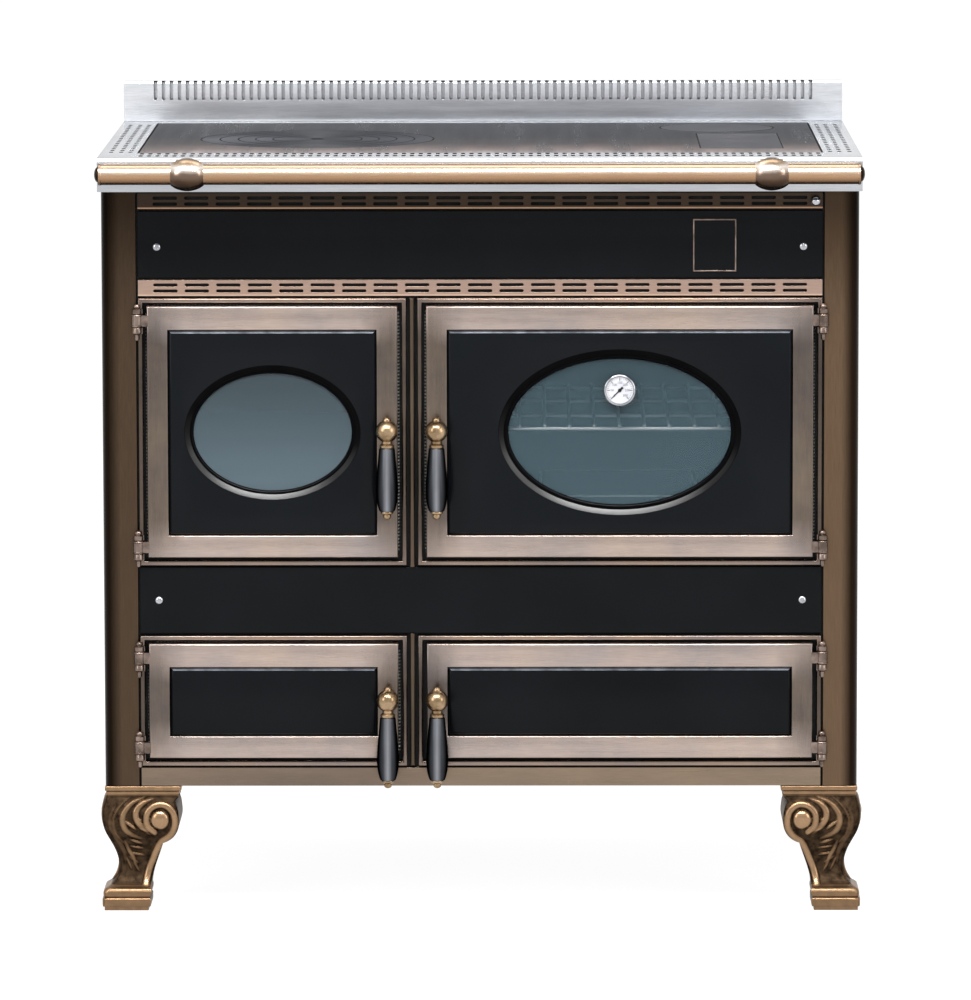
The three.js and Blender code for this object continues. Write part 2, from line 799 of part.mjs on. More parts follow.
// A round cover with the same lip as a ring. A socket takes the tool that lifts it.
function roundCover(radius, x, y) {
  const lip = hobTop - lipDepth;
  const body = radius - lipWidth;
  return turned([[0, hobBottom], [body, hobBottom], [body, lip], [radius, lip], [radius, hobTop],
    [discSocketRadius, hobTop], [discSocketRadius, hobTop - discSocketDepth],
    [0, hobTop - discSocketDepth]], 'z', [x, y, 0], roundSides);
}

function flueCover() {
  const lip = hobTop - lipDepth;
  const body = flueCapRadius - lipWidth;
  return turned([[0, hobBottom], [body, hobBottom], [body, lip], [flueCapRadius, lip],
    [flueCapRadius, hobTop], [0, hobTop]], 'z', [flueX, flueY, 0], roundSides);
}

function cleaningArea(grow) {
  return {
    x0: cleaningX - cleaningWidth / 2 - grow,
    x1: cleaningX + cleaningWidth / 2 + grow,
    y0: hobY + cleaningFromFront - grow,
    y1: hobY + cleaningFromFront + cleaningLength + grow,
  };
}

function cleaningCover() {
  const { x0, x1, y0, y1 } = cleaningArea(0);
  const lid = box(x0, x1, y0, y1, hobTop - lipDepth, hobTop);
  const foot = lipWidth + 2 * seat;
  const plug = box(x0 + foot, x1 - foot, y0 + foot, y1 - foot, hobBottom, hobTop - lipDepth / 2);
  return join(lid, plug);
}

// ---------------------------------------------------------------- towel rail

const railY = frontEdge - railStandoff;
const railZ = worktopTop - railDrop;

function towelRail() {
  const tubeEnd = railHalfLength - railEndLength;
  const half = [[railRadius, tubeEnd], [railCollarRadius, tubeEnd + 0.4],
    [railCollarRadius, tubeEnd + 3.4], [8.5, tubeEnd + 3.8], [6, railHalfLength - 1],
    [0, railHalfLength]];
  const mirrored = half.map(([radius, x]) => [radius, -x]).reverse();
  return turned([...mirrored, ...half], 'x', [0, railY, railZ], railSides);
}

function railSupport(x) {
  const end = supportHalfLength;
  const shoulder = supportHalfLength / 3;
  const barrel = turned([[0, -end], [supportEndRadius, -end], [supportRadius, -shoulder],
    [supportRadius, shoulder], [supportEndRadius, end], [0, end]],
  'x', [x, railY, railZ], railSides);
  const stem = turned(disc(supportStemRadius, railY, frontEdge - seat), 'y', [x, 0, railZ], railSides);
  const base = turned(disc(supportBaseRadius, frontEdge - seat - supportBaseThickness, frontEdge - seat),
    'y', [x, 0, railZ], railSides);
  const bore = turned(disc(railRadius + seat, -end - cutPast, end + cutPast), 'x', [x, railY, railZ],
    railSides);
  return cut(join(barrel, stem, base), bore);
}

// ---------------------------------------------------------------- legs

// Front outline of a leg. u runs inwards from the side of the casing, z up from the floor.
function legOutline() {
  const crown = legHeight - 11;
  const outline = new THREE.Shape();
  outline.moveTo(1, crown);
  outline.bezierCurveTo(-7, 125, -7, 103, 1.5, 89.5);
  outline.bezierCurveTo(7, 79, 15, 66, 14.6, 51);
  outline.bezierCurveTo(14.3, 41, 9, 30, 0.3, 26.7);
  outline.bezierCurveTo(-3.8, 26, -4.2, 18, -2.4, 15.8);
  outline.lineTo(-4.4, 14);
  outline.lineTo(-4.4, 5);
  outline.lineTo(-1.5, 4.5);
  outline.lineTo(-1.5, 0);
  outline.lineTo(51, 0);
  outline.lineTo(51, 4.5);
  outline.lineTo(53.8, 5);
  outline.lineTo(53.8, 14);
  outline.lineTo(52, 15.8);
  outline.bezierCurveTo(54.5, 18, 55, 24, 53.6, 26.7);
  outline.bezierCurveTo(55, 45, 63, 62, 68.5, 80);
  outline.bezierCurveTo(84, 85, 91, 100, 88.8, 113);
  outline.bezierCurveTo(88, 122, 86, 128, 82.5, 131);
  outline.lineTo(89, crown);
  outline.closePath();
  return outline;
}

const legPlate = 91;
const legReach = 4.4; // foot and knee stand out past the casing

// The same cabriole outline faces the front and the side, and the two meet at the corner.
function leg(side, y, facing) {
  const from = -2 * legReach;
  const front = facingFront(legOutline(), from, legPlate, { curve: 3 });
  const across = facingSide(legOutline(), from, legPlate, 3);
  const step = box(0.6, legPlate - 1.6, 0.6, legPlate - 1.6, legHeight - 11, legHeight - 6);
  const plate = box(-0.4, legPlate, -0.4, legPlate, legHeight - 6.2, legHeight);
  const whole = join(common(front, across), step, plate);
  return weld(whole.scale(-side, facing, 1).translate(side * casingHalf, y, 0));
}

// ---------------------------------------------------------------- doors

// Corner radius of a bore whose flats clear a turning pin.
function boreAround(radius, sides) {
  return (radius + seat) / Math.cos(Math.PI / sides);
}

function alongY(radius, x, z, y0, y1, sides = handleSides) {
  return turned(disc(radius, y0, y1), 'y', [x, 0, z], sides);
}

// Mitred bronze frame with the hinge barrels, and a rebate behind that holds the panel.
function doorFrame(door) {
  const { leaf, opening, pinX, side, handleX, handleZ } = door;
  const frame = facingFront(ring(leaf, opening), doorFace, doorBack, { bevel: doorRound });
  const rebate = boxOver(inset(opening, -rebateWidth), rebateFace, doorBack + cutPast);
  const spindleHole = alongY(boreAround(spindleRadius, handleSides), handleX, handleZ,
    doorFace - cutPast, doorBack + cutPast);
  let result = cut(frame, rebate, spindleHole);
  const edge = side < 0 ? leaf.x0 + doorRound : leaf.x1 - doorRound;
  const lugStart = pinX - side * (pinRadius + 2 * seat + 1.2);
  for (const z of door.hinges) {
    const barrel = turned(tube(pinRadius + seat, barrelRadius, -barrelHeight / 2, barrelHeight / 2), 'z',
      [pinX, pinY, z], hingeSides);
    const lug = box(Math.min(lugStart, edge), Math.max(lugStart, edge), pinY - lugThickness / 2,
      pinY + lugThickness / 2, z - barrelHeight / 2 + 1, z + barrelHeight / 2 - 1);
    result = join(result, barrel, lug);
  }
  return result;
}

function oval(door, grow) {
  const { rx, rz } = door.window;
  const outline = new THREE.Shape();
  outline.absellipse(door.centreX, door.centreZ, rx + grow, rz + grow, 0, Math.PI * 2);
  return outline;
}

// Enamelled panel: a raised field fills the frame, and a thinner edge lies in its rebate.
function doorPanel(door) {
  const back = doorBack - seat;
  const field = facingFront(outlineOf(inset(door.opening, seat)), panelFace, back,
    { bevel: panelBevel, bevelDepth: panelBevelDepth });
  const edge = boxOver(inset(door.opening, seat - rebateWidth), rebateFace + seat, back);
  const panel = join(field, edge);
  if (!door.window) return panel;
  const throat = facingFront(oval(door, 0), panelFace - cutPast, doorBack, { curve: ovalSides / 2 });
  const flare = door.window.bevel;
  const bevelled = new THREE.ExtrudeGeometry(oval(door, 0), {
    depth: flare,
    bevelEnabled: true,
    bevelThickness: windowBevelDepth,
    bevelSize: flare,
    bevelSegments: 1,
    curveSegments: ovalSides / 2,
  });
  bevelled.rotateX(Math.PI / 2);
  bevelled.translate(0, panelFace, 0);
  const pocket = boxOver(glassArea(door, seat), glassFace - seat, doorBack);
  return cut(panel, throat, bevelled, pocket);
}

function glassArea(door, grow) {
  const { rx, rz } = door.window;
  const dx = rx + glassMargin + grow;
  const dz = rz + glassMargin + grow;
  return {
    x0: door.centreX - dx,
    x1: door.centreX + dx,
    z0: door.centreZ - dz,
    z1: door.centreZ + dz,
  };
}

function doorGlass(door) {
  return facingFront(outlineOf(glassArea(door, 0)), glassFace, glassFace + glassThickness);
}

// Rope seal in one loop round the back of a door.
function ropeSeal(door) {
  const y0 = doorBack + seat;
  const y1 = carcassFront - seat;
  const radius = (y1 - y0) / 2;
  const axis = inset(door.leaf, ropeInset);
  return facingFront(ring(inset(axis, -radius), inset(axis, radius), 3 * radius, 0), y0, y1,
    { bevel: radius * 0.55, curve: 1 });
}

// Bronze bead round a bay, with the fixed knuckles and the pins of its two hinges.
function surround(door) {
  const { bay, side, pinX } = door;
  let result = facingFront(ring(bay, inset(bay, beadWidth)), casingFront - beadProud, carcassFront - seat);
  const inner = side < 0 ? bay.x0 + beadWidth : bay.x1 - beadWidth;
  const half = barrelHeight / 2;
  const top = half + seat + upperKnuckle;
  const bottom = -half - seat - lowerKnuckle;
  const profile = [[0, bottom - tailLength], [tailRadius, bottom - tailLength + 1.5],
    [tailRadius, bottom], [knuckleRadius, bottom], [knuckleRadius, -half - seat],
    [pinRadius, -half - seat], [pinRadius, half + seat], [knuckleRadius, half + seat],
    [knuckleRadius, top], [0, top + knobHeight]];
  for (const z of door.hinges) {
    const span = (z0, z1, y0, y1) =>
      box(Math.min(pinX, inner), Math.max(pinX, inner), y0, y1, z + z0, z + z1);
    const clearance = box(Math.min(pinX, inner) - 2, Math.max(pinX, inner) + 2,
      casingFront - beadProud - cutPast, casingFront - seat, z - half - seat, z + half + seat);
    result = join(cut(result, clearance),
      turned(profile, 'z', [pinX, pinY, z], hingeSides),
      span(half + seat, top, pinY, casingFront - seat),
      span(bottom, -half - seat, pinY, casingFront - seat));
  }
  return result;
}

// ---------------------------------------------------------------- handles

// Brass ball, collar, rod and finial, with the spindle through the door and its cam.
function handleHub({ handleX, handleZ, side }) {
  const at = [handleX, ballY, handleZ];
  const ballTop = ballRadius * 0.88;
  const hanging = turned([[0, -handleLength], [5, -handleLength + 2.5], [7.5, -gripBottom - 2.5],
    [7.5, -gripBottom - seat], [rodRadius, -gripBottom - seat], [rodRadius, -gripTop + seat],
    [8.5, -gripTop + seat], [8.5, -gripTop + 4.5], [6.5, -ballTop - 0.6],
    [ballRadius * 0.85, -ballRadius * 0.53], [ballRadius, 0], [ballRadius * 0.85, ballRadius * 0.53],
    [4.4, ballTop + 1], [4.4, ballTop + 4], [0, ballTop + 4.6]], 'z', at, handleSides);
  const face = doorFace - seat;
  const spindle = turned([[0, ballY], [shoulderRadius, ballY], [shoulderRadius, face],
    [spindleRadius, face], [spindleRadius, camFront + camThickness], [0, camFront + camThickness]],
  'y', [handleX, 0, handleZ], handleSides);
  const tip = handleX - side * camReach;
  const cam = box(Math.min(handleX, tip), Math.max(handleX, tip), camFront,
    camFront + camThickness, handleZ - camHeight / 2, handleZ + camHeight / 2);
  return join(hanging, spindle, cam);
}

function handleGrip({ handleX, handleZ }) {
  const bore = rodRadius + seat;
  return turned([[bore, -gripBottom], [gripEndRadius, -gripBottom],
    [gripRadius - 1.2, gripBelly / 2 - gripBottom], [gripRadius, gripBelly - gripBottom],
    [gripRadius - 1.6, 2 * gripBelly - gripBottom], [gripEndRadius + 0.4, -gripTop],
    [bore, -gripTop], [bore, -gripBottom]], 'z', [handleX, ballY, handleZ], handleSides);
}

// ---------------------------------------------------------------- firebox and ash

const chamberFront = carcassFront + carcassPlate + seat + brickWall;

function grateFront() {
  return chamberFront + (chamberDepth - grateLength) / 2;
}

// Firebrick lining: four walls and a floor round the fire, open above and at the door.
function firebrickLining() {
  const x = firebox.centreX;
  const z0 = deckTop + seat;
  const outer = box(x - chamberHalfWidth - brickWall, x + chamberHalfWidth + brickWall,
    chamberFront - brickWall, chamberFront - brickWall + brickDepth, z0, z0 + brickTop);
  const chamber = box(x - chamberHalfWidth, x + chamberHalfWidth, chamberFront,
    chamberFront + chamberDepth, z0 + brickFloor, z0 + brickTop + cutPast);
  const mouth = box(x - chamberHalfWidth, x + chamberHalfWidth, chamberFront - brickWall - cutPast,
    chamberFront + cutPast, z0 + brickFloor + brickSill, z0 + brickTop + cutPast);
  const half = grateHalfWidth + seat;
  const well = box(x - half, x + half, grateFront() - seat, grateFront() + grateLength + seat,
    z0 - cutPast, z0 + brickFloor + cutPast);
  return cut(outer, chamber, mouth, well);
}

function fireboxGrate() {
  const x = firebox.centreX;
  const z0 = deckTop + seat;
  const bars = [];
  const pitch = (2 * (grateHalfWidth - grateRim) + grateSlotWidth) / grateSlots;
  for (let i = 0; i < grateSlots; i += 1) {
    const at = x + (i - (grateSlots - 1) / 2) * pitch;
    bars.push(box(at - grateSlotWidth / 2, at + grateSlotWidth / 2, grateFront() + grateRim,
      grateFront() + grateLength - grateRim, z0 - cutPast, z0 + grateThickness + cutPast));
  }
  return cut(box(x - grateHalfWidth, x + grateHalfWidth, grateFront(), grateFront() + grateLength,
    z0, z0 + grateThickness), ...bars);
}

// Open-topped pan on the floor of the ash box, with a turned-out lip to pull it by.
function ashPan() {
  const x = ash.centreX;
  const y0 = carcassFront + panFrontGap;
  const z0 = floorTop + seat;
  const outer = box(x - panHalfWidth, x + panHalfWidth, y0, y0 + panDepth, z0, z0 + panHeight);
  const lip = box(x - panHalfWidth, x + panHalfWidth, y0 - panLip, y0 + sheet,
    z0 + panHeight - sheet, z0 + panHeight);
  const hollow = box(x - panHalfWidth + sheet, x + panHalfWidth - sheet, y0 + sheet,
    y0 + panDepth - sheet, z0 + sheet, z0 + panHeight + cutPast);
  return cut(join(outer, lip), hollow);
}

// ---------------------------------------------------------------- oven fittings

// Wire rack: rods from front to back lie on a bar at each end, between two side bars.
function ovenRack() {
  const { x0, x1 } = inset(oven.lip, rackMargin + rackBarRadius);
  const y0 = carcassFront + 4 * carcassPlate + rackBarRadius;
  const y1 = ovenBack - 3 * carcassPlate - rackBarRadius;
  const barZ = rackZ - rackRodRadius;
  const reach = rackBarRadius * 0.8;
  const bar = (at, axis, radius, h0, h1) => turned(disc(radius, h0, h1), axis, at, wireSides);
  const parts = [];
  for (const y of [y0 + reach, y1 - reach]) {
    parts.push(bar([0, y, barZ], 'x', rackBarRadius, x0, x1));
  }
  for (const x of [x0, x1]) {
    parts.push(bar([x, 0, barZ], 'y', rackBarRadius, y0 - 1, y1 + 1));
  }
  for (let i = 0; i < rackRods; i += 1) {
    const x = oven.centreX + (i - (rackRods - 1) / 2) * rackPitch;
    parts.push(bar([x, 0, rackZ + rackBarRadius - 1], 'y', rackRodRadius, y0 - 2, y1 + 2));
  }
  return join(...parts);
}

const dialX = oven.centreX;
const dialZ = oven.centreZ + thermometerRise;
const dialFront = glassFace - seat - thermometerDepth;
const dialFloor = dialFront + dialRecess;

// Round case on the glass, with its stem, its nut behind the glass and the pin of the needle.
function thermometerCase() {
  const back = glassFace - seat;
  const nut = glassFace + glassThickness + seat;
  return turned([[0, dialFront + 0.3], [needlePinRadius, dialFront + 0.3], [needlePinRadius, dialFloor],
    [dialRadius, dialFloor], [dialRadius, dialFront], [thermometerRadius, dialFront + 1],
    [thermometerRadius, back], [stemRadius, back],
    [stemRadius, nut], [nutRadius, nut], [nutRadius, nut + nutThickness],
    [stemRadius, nut + nutThickness], [stemRadius, back + stemLength], [0, back + stemLength]],
  'y', [dialX, 0, dialZ], dialSides);
}

// Pointer at rest towards the lower left, with a short counterweight tail.
function thermometerNeedle() {
  const y0 = dialFloor - seat - needleThickness;
  const y1 = dialFloor - seat;
  const blade = new THREE.Shape();
  blade.moveTo(-needleTail, -1);
  blade.lineTo(-needleTail, 1);
  blade.lineTo(0, 1.1);
  blade.lineTo(needleLength, 0.3);
  blade.lineTo(needleLength, -0.3);
  blade.lineTo(0, -1.1);
  blade.closePath();
  const pointer = facingFront(blade, y0, y1);
  const hub = turned(disc(needleHubRadius, y0, y1), 'y', [0, 0, 0], handleSides);
  const bore = turned(disc(needlePinRadius + seat, y0 - cutPast, y1 + cutPast), 'y', [0, 0, 0], handleSides);
  const needle = cut(join(pointer, hub), bore);
  return needle.rotateY(THREE.MathUtils.degToRad(135)).translate(dialX, 0, dialZ);
}

function ovenGlass() {
  const hole = alongY(stemRadius + 2 * seat, dialX, dialZ, glassFace - cutPast,
    glassFace + glassThickness + cutPast, dialSides);
  return cut(doorGlass(oven), hole);
}

// Knob, rod and damper plate in one. Pulling the knob opens the short way to the flue.
function bypassRod() {
  const plateBack = flueBoxFront - seat;
  const plateFront = plateBack - damperThickness;
  const knobY = casingFront - bypassKnobProud;
  const rod = alongY(bypassRodRadius, bypassX, bypassZ, knobY, plateBack - damperThickness / 2, 8);
  const r = bypassKnobRadius;
  const knob = turned([[0, knobY - r], [r * 0.7, knobY - r * 0.7], [r, knobY], [r * 0.7, knobY + r * 0.7],
    [0, knobY + r]], 'y', [bypassX, 0, bypassZ], handleSides);
  const plate = boxOver({
    x0: bypassArea.x0 - damperMargin,
    x1: bypassX + bypassRodRadius + damperMargin / 2,
    z0: bypassArea.z0 - damperMargin,
    z1: bypassArea.z1 + damperMargin,
  }, plateFront, plateBack);
  return join(plate, rod, knob);
}

// ---------------------------------------------------------------- assembly

add('carcass', carcass(), carcassSteel);
add('side_panel_left', sidePanel(-1), blackEnamel);
add('side_panel_right', sidePanel(1), blackEnamel);
add('back_panel', backPanel(), blackEnamel);
add('pillar_left', pillar(-1), patina);
add('pillar_right', pillar(1), patina);
add('upper_grille', cut(grille(bandArea(upperGrille)),
  bypassDrill(casingFront - cutPast, casingFront + sheet + cutPast)), copper);
add('upper_fascia', tray(bandArea(upperFascia)), blackEnamel);
add('lower_grille', grille(bandArea(lowerGrille)), copper);
add('middle_fascia', cut(tray(bandArea(middleFascia)), mullionPassage()), blackEnamel);
add('bottom_rail', tray(bandArea(bottomRail)), patina);
add('centre_mullion', mullion(), patina);

add('worktop_frame', worktopFrame(), stainless);
add('backsplash', backsplash(), stainless);
add('hob_plate', hobPlate(), groundIron);
ringRadii.slice(0, -1).forEach((radius, i) => {
  add(`hob_ring_${i + 1}`, hobRing(radius, ringRadii[i + 1]), groundIron);
});
add('hob_disc', roundCover(ringRadii.at(-1), ringX, ringY), groundIron);
add('flue_cap', flueCover(), groundIron);
add('cleaning_cover', cleaningCover(), groundIron);
add('towel_rail', towelRail(), copper);
add('rail_support_left', railSupport(-supportX), agedBrass);
add('rail_support_right', railSupport(supportX), agedBrass);

add('leg_front_left', leg(-1, casingFront, 1), patina);
add('leg_front_right', leg(1, casingFront, 1), patina);
add('leg_rear_left', leg(-1, casingBack, -1), patina);
add('leg_rear_right', leg(1, casingBack, -1), patina);

for (const door of doorways) {
  add(`${door.name}_surround`, surround(door), patina);
  add(`${door.name}_door_frame`, doorFrame(door), patina);
  add(`${door.name}_door_panel`, doorPanel(door), blackEnamel);
  add(`${door.name}_handle`, handleHub(door), agedBrass);
  add(`${door.name}_grip`, handleGrip(door), charcoal);
}
add('firebox_door_glass', doorGlass(firebox), darkGlass);
add('oven_door_glass', ovenGlass(), darkGlass);
add('firebox_door_seal', ropeSeal(firebox), rope);
add('oven_door_seal', ropeSeal(oven), rope);

add('firebrick_lining', firebrickLining(), firebrick);
add('firebox_grate', fireboxGrate(), castIron);
add('ash_pan', ashPan(), carcassSteel);
add('oven_rack', ovenRack(), chrome);
add('thermometer_case', thermometerCase(), chrome);
add('thermometer_needle', thermometerNeedle(), needleRed);
add('bypass_rod', bypassRod(), chrome);

export default stove;
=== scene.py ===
"""The looks of a wood cookstove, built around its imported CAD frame. Metres, Z up, doors facing -Y."""

import math

import bmesh
import bpy
import numpy as np
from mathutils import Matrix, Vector

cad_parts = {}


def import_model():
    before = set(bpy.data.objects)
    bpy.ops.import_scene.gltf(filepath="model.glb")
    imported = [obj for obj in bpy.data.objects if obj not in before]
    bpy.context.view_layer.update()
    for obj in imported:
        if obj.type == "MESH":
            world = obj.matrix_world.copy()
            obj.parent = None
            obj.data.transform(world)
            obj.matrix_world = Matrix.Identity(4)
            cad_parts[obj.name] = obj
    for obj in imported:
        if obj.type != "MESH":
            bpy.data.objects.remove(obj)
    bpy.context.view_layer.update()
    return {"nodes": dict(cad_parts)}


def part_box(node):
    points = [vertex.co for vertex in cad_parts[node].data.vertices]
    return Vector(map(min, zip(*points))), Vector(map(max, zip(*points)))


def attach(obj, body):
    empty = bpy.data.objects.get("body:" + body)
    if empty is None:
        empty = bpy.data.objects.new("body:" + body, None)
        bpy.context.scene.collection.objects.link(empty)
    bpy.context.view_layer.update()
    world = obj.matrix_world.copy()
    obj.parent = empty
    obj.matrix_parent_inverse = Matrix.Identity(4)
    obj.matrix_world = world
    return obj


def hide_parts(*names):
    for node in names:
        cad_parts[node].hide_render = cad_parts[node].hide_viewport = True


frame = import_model()
scene = bpy.context.scene

MM = 0.001
SEAT = 0.3 * MM  # gap between pieces that rest on each other
FINE = 64  # sides of a smooth round piece

CASING_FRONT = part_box("upper_fascia")[0].y
CASING_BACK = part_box("back_panel")[1].y
CASING_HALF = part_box("side_panel_right")[1].x
WORKTOP_LOW, WORKTOP_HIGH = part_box("worktop_frame")
HOB_LOW, HOB_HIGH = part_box("hob_plate")


# ---------------------------------------------------------------- shapes


class Rect:
    """A rectangle in the plane of the doors."""

    def __init__(self, x0, x1, z0, z1):
        self.x0, self.x1, self.z0, self.z1 = x0, x1, z0, z1

    def grow(self, dx, dz=None):
        dz = dx if dz is None else dz
        return Rect(self.x0 - dx, self.x1 + dx, self.z0 - dz, self.z1 + dz)

    def corners(self):
        return [(self.x0, self.z0), (self.x1, self.z0), (self.x1, self.z1), (self.x0, self.z1)]

    def rounded(self, radius, steps):
        """Its outline with round corners."""
        found = []
        for x, z, start in (
            (self.x1 - radius, self.z0 + radius, -90),
            (self.x1 - radius, self.z1 - radius, 0),
            (self.x0 + radius, self.z1 - radius, 90),
            (self.x0 + radius, self.z0 + radius, 180),
        ):
            found += arc(x, z, radius, start, start + 90, steps)
        return found

    @property
    def centre(self):
        return (self.x0 + self.x1) / 2, (self.z0 + self.z1) / 2


def front_rect(node):
    low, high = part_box(node)
    return Rect(low.x, high.x, low.z, high.z)


def middle(node):
    """Centre of a CAD node's box, as x, y, z."""
    low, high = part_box(node)
    return [(a + b) / 2 for a, b in zip(low, high)]


def mm(*points, at=0):
    """Points written in millimetres, their second value counted from a place in metres."""
    return [(a * MM, at + b * MM) for a, b in points]


def mirrored(half, *centre):
    """A profile from its upper half, listed from the end to the middle."""
    return [(r, -h) for r, h in half] + list(centre) + half[::-1]


def spread(count, pitch):
    """Evenly spaced places about zero."""
    return [(i - (count - 1) / 2) * pitch for i in range(count)]


def quarter(steps):
    """Angles of a quarter turn, with both its ends."""
    return np.linspace(0, math.pi / 2, steps)


def flat_point(x, y, z):
    return (x, y, z)


def upright_point(x, z, y):
    return (x, y, z)


def add_box(bm, low, high):
    spans = list(zip(low, high))
    corners = [bm.verts.new((x, y, z)) for x in spans[0] for y in spans[1] for z in spans[2]]
    for face in ((0, 1, 3, 2), (4, 6, 7, 5), (0, 4, 5, 1), (2, 3, 7, 6), (0, 2, 6, 4), (1, 5, 7, 3)):
        bm.faces.new([corners[i] for i in face])


def add_loop(bm, points):
    return [bm.verts.new(p) for p in points]


def bridge(bm, a, b):
    """Quads between two closed loops with the same number of points."""
    count = len(a)
    return [bm.faces.new((a[i], a[(i + 1) % count], b[(i + 1) % count], b[i])) for i in range(count)]


def add_prism(bm, outline, place, start, end):
    """A prism over a closed outline. place(a, b, depth) gives a point in space."""
    first = add_loop(bm, [place(a, b, start) for a, b in outline])
    last = add_loop(bm, [place(a, b, end) for a, b in outline])
    bridge(bm, first, last)
    bm.faces.new(first)
    bm.faces.new(list(reversed(last)))


AXES = {
    "X": lambda r, angle, h: Vector((h, r * math.cos(angle), r * math.sin(angle))),
    "Y": lambda r, angle, h: Vector((r * math.cos(angle), h, r * math.sin(angle))),
    "Z": lambda r, angle, h: Vector((r * math.cos(angle), r * math.sin(angle), h)),
}


def add_lathe(bm, profile, centre, axis="Z", sides=FINE, closed=False):
    """Revolves a profile of (radius, height) points about an axis through centre."""
    place = AXES[axis]
    loops = []
    for radius, height in profile:
        if radius < 1e-7:
            loops.append([bm.verts.new(place(0, 0, height) + Vector(centre))])
        else:
            turn = [2 * math.pi * i / sides for i in range(sides)]
            loops.append(add_loop(bm, [place(radius, a, height) + Vector(centre) for a in turn]))
    if closed:
        loops.append(loops[0])
    for a, b in zip(loops, loops[1:]):
        if len(a) == 1:
            a, b = b, a
        if len(b) == 1 and len(a) > 1:
            for i in range(sides):
                bm.faces.new((a[i], a[(i + 1) % sides], b[0]))
        elif len(a) > 1:
            bridge(bm, a, b)


def new_mesh(add, *args, **options):
    """A new bmesh with one form, made by one of the functions above."""
    bm = bmesh.new()
    add(bm, *args, **options)
    return bm


def arc(centre_r, centre_h, radius, start, end, steps):
    """Points of a circular arc in a lathe profile, with its angles in degrees."""
    angles = [math.radians(start + (end - start) * i / steps) for i in range(steps + 1)]
    return [(centre_r + radius * math.cos(a), centre_h + radius * math.sin(a)) for a in angles]


def smooth_path(points, steps=6):
    """A Catmull-Rom curve through the points."""
    ends = [2 * Vector(points[0]) - Vector(points[1])] + [Vector(p) for p in points]
    ends.append(2 * Vector(points[-1]) - Vector(points[-2]))
    found = []
    for p0, p1, p2, p3 in zip(ends, ends[1:], ends[2:], ends[3:]):
        for i in range(steps):
            t = i / steps
            bend = (2 * p0 - 5 * p1 + 4 * p2 - p3) * t**2 + (3 * p1 - p0 - 3 * p2 + p3) * t**3
            found.append(0.5 * (2 * p1 + (p2 - p0) * t + bend))
    found.append(Vector(points[-1]))
    return [tuple(p) for p in found]


def capsule(x, z, length, height, steps=8):
    """Outline of a slot with round ends."""
    reach, radius = (length - height) / 2, height / 2
    turn = np.linspace(0, math.pi, steps)
    right = [(reach + radius * math.sin(a), -radius * math.cos(a)) for a in turn]
    return [(x + s * u, z + s * v) for s in (1, -1) for u, v in right]


CORNER_BLEND = 45 * MM


def bar_loop(rect, blend):
    """Points round a rectangle with how far each belongs to a level bar (1) or to an upright one (0)."""
    found = []
    corners = rect.corners()
    for k, (a, b) in enumerate(zip(corners, corners[1:] + corners[:1])):
        a, b = Vector(a), Vector(b)
        level = 1.0 - k % 2
        along = (b - a).normalized() * min(blend, (b - a).length / 3)
        found += [(a, 0.5), (a + along, level), (b - along, level)]
    return found


def mitred(bm, inner, outer, profile):
    """Sweeps a closed profile round a rectangle. A profile point is (edge, distance, y)."""
    layer = bm.verts.layers.float.get("level") or bm.verts.layers.float.new("level")
    rings = []
    for edge, distance, y in profile:
        rect = inner.grow(distance) if edge == "in" else outer.grow(-distance)
        blend = CORNER_BLEND - (outer.x1 - rect.x1)
        ring = []
        for point, level in bar_loop(rect, max(blend, 4 * MM)):
            made = bm.verts.new((point.x, y, point.y))
            made[layer] = level
            ring.append(made)
        rings.append(ring)
    for a, b in zip(rings, rings[1:] + rings[:1]):
        bridge(bm, a, b)


def rounded_bar(front, back, radius, steps=3):
    """Profile of a bar whose two front edges are rounded."""
    turn = [math.pi / 2 * i / steps for i in range(steps + 1)]
    first = [("in", radius * (1 - math.cos(a)), front + radius * (1 - math.sin(a))) for a in turn]
    second = [("out", radius * (1 - math.sin(a)), front + radius * (1 - math.cos(a))) for a in turn]
    return [("in", 0, back)] + first + second + [("out", 0, back)]


# ---------------------------------------------------------------- pieces


def make(name, bm, material, body, replaces=(), bevel=0, bevel_steps=2, smooth=32):
    """Turns a bmesh into a named piece that rides on a CAD body."""
    bmesh.ops.remove_doubles(bm, verts=bm.verts, dist=1e-7)
    bmesh.ops.recalc_face_normals(bm, faces=bm.faces)
    mesh = bpy.data.meshes.new(name)
    bm.to_mesh(mesh)
    bm.free()
    mesh.shade_smooth()
    mesh.set_sharp_from_angle(angle=math.radians(smooth))
    for each in material if isinstance(material, tuple) else (material,):
        mesh.materials.append(each)
    piece = bpy.data.objects.new(name, mesh)
    scene.collection.objects.link(piece)
    if bevel:
        soften(piece, bevel, bevel_steps)
    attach(piece, body)
    if replaces:
        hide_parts(*replaces)
    return piece


def soften(piece, width, steps=2):
    """Rounds the sharp edges of a piece."""
    bevel = piece.modifiers.new("soft_edges", "BEVEL")
    bevel.width = width
    bevel.segments = steps
    bevel.limit_method = "ANGLE"
    bevel.angle_limit = math.radians(30)
    bevel.harden_normals = True


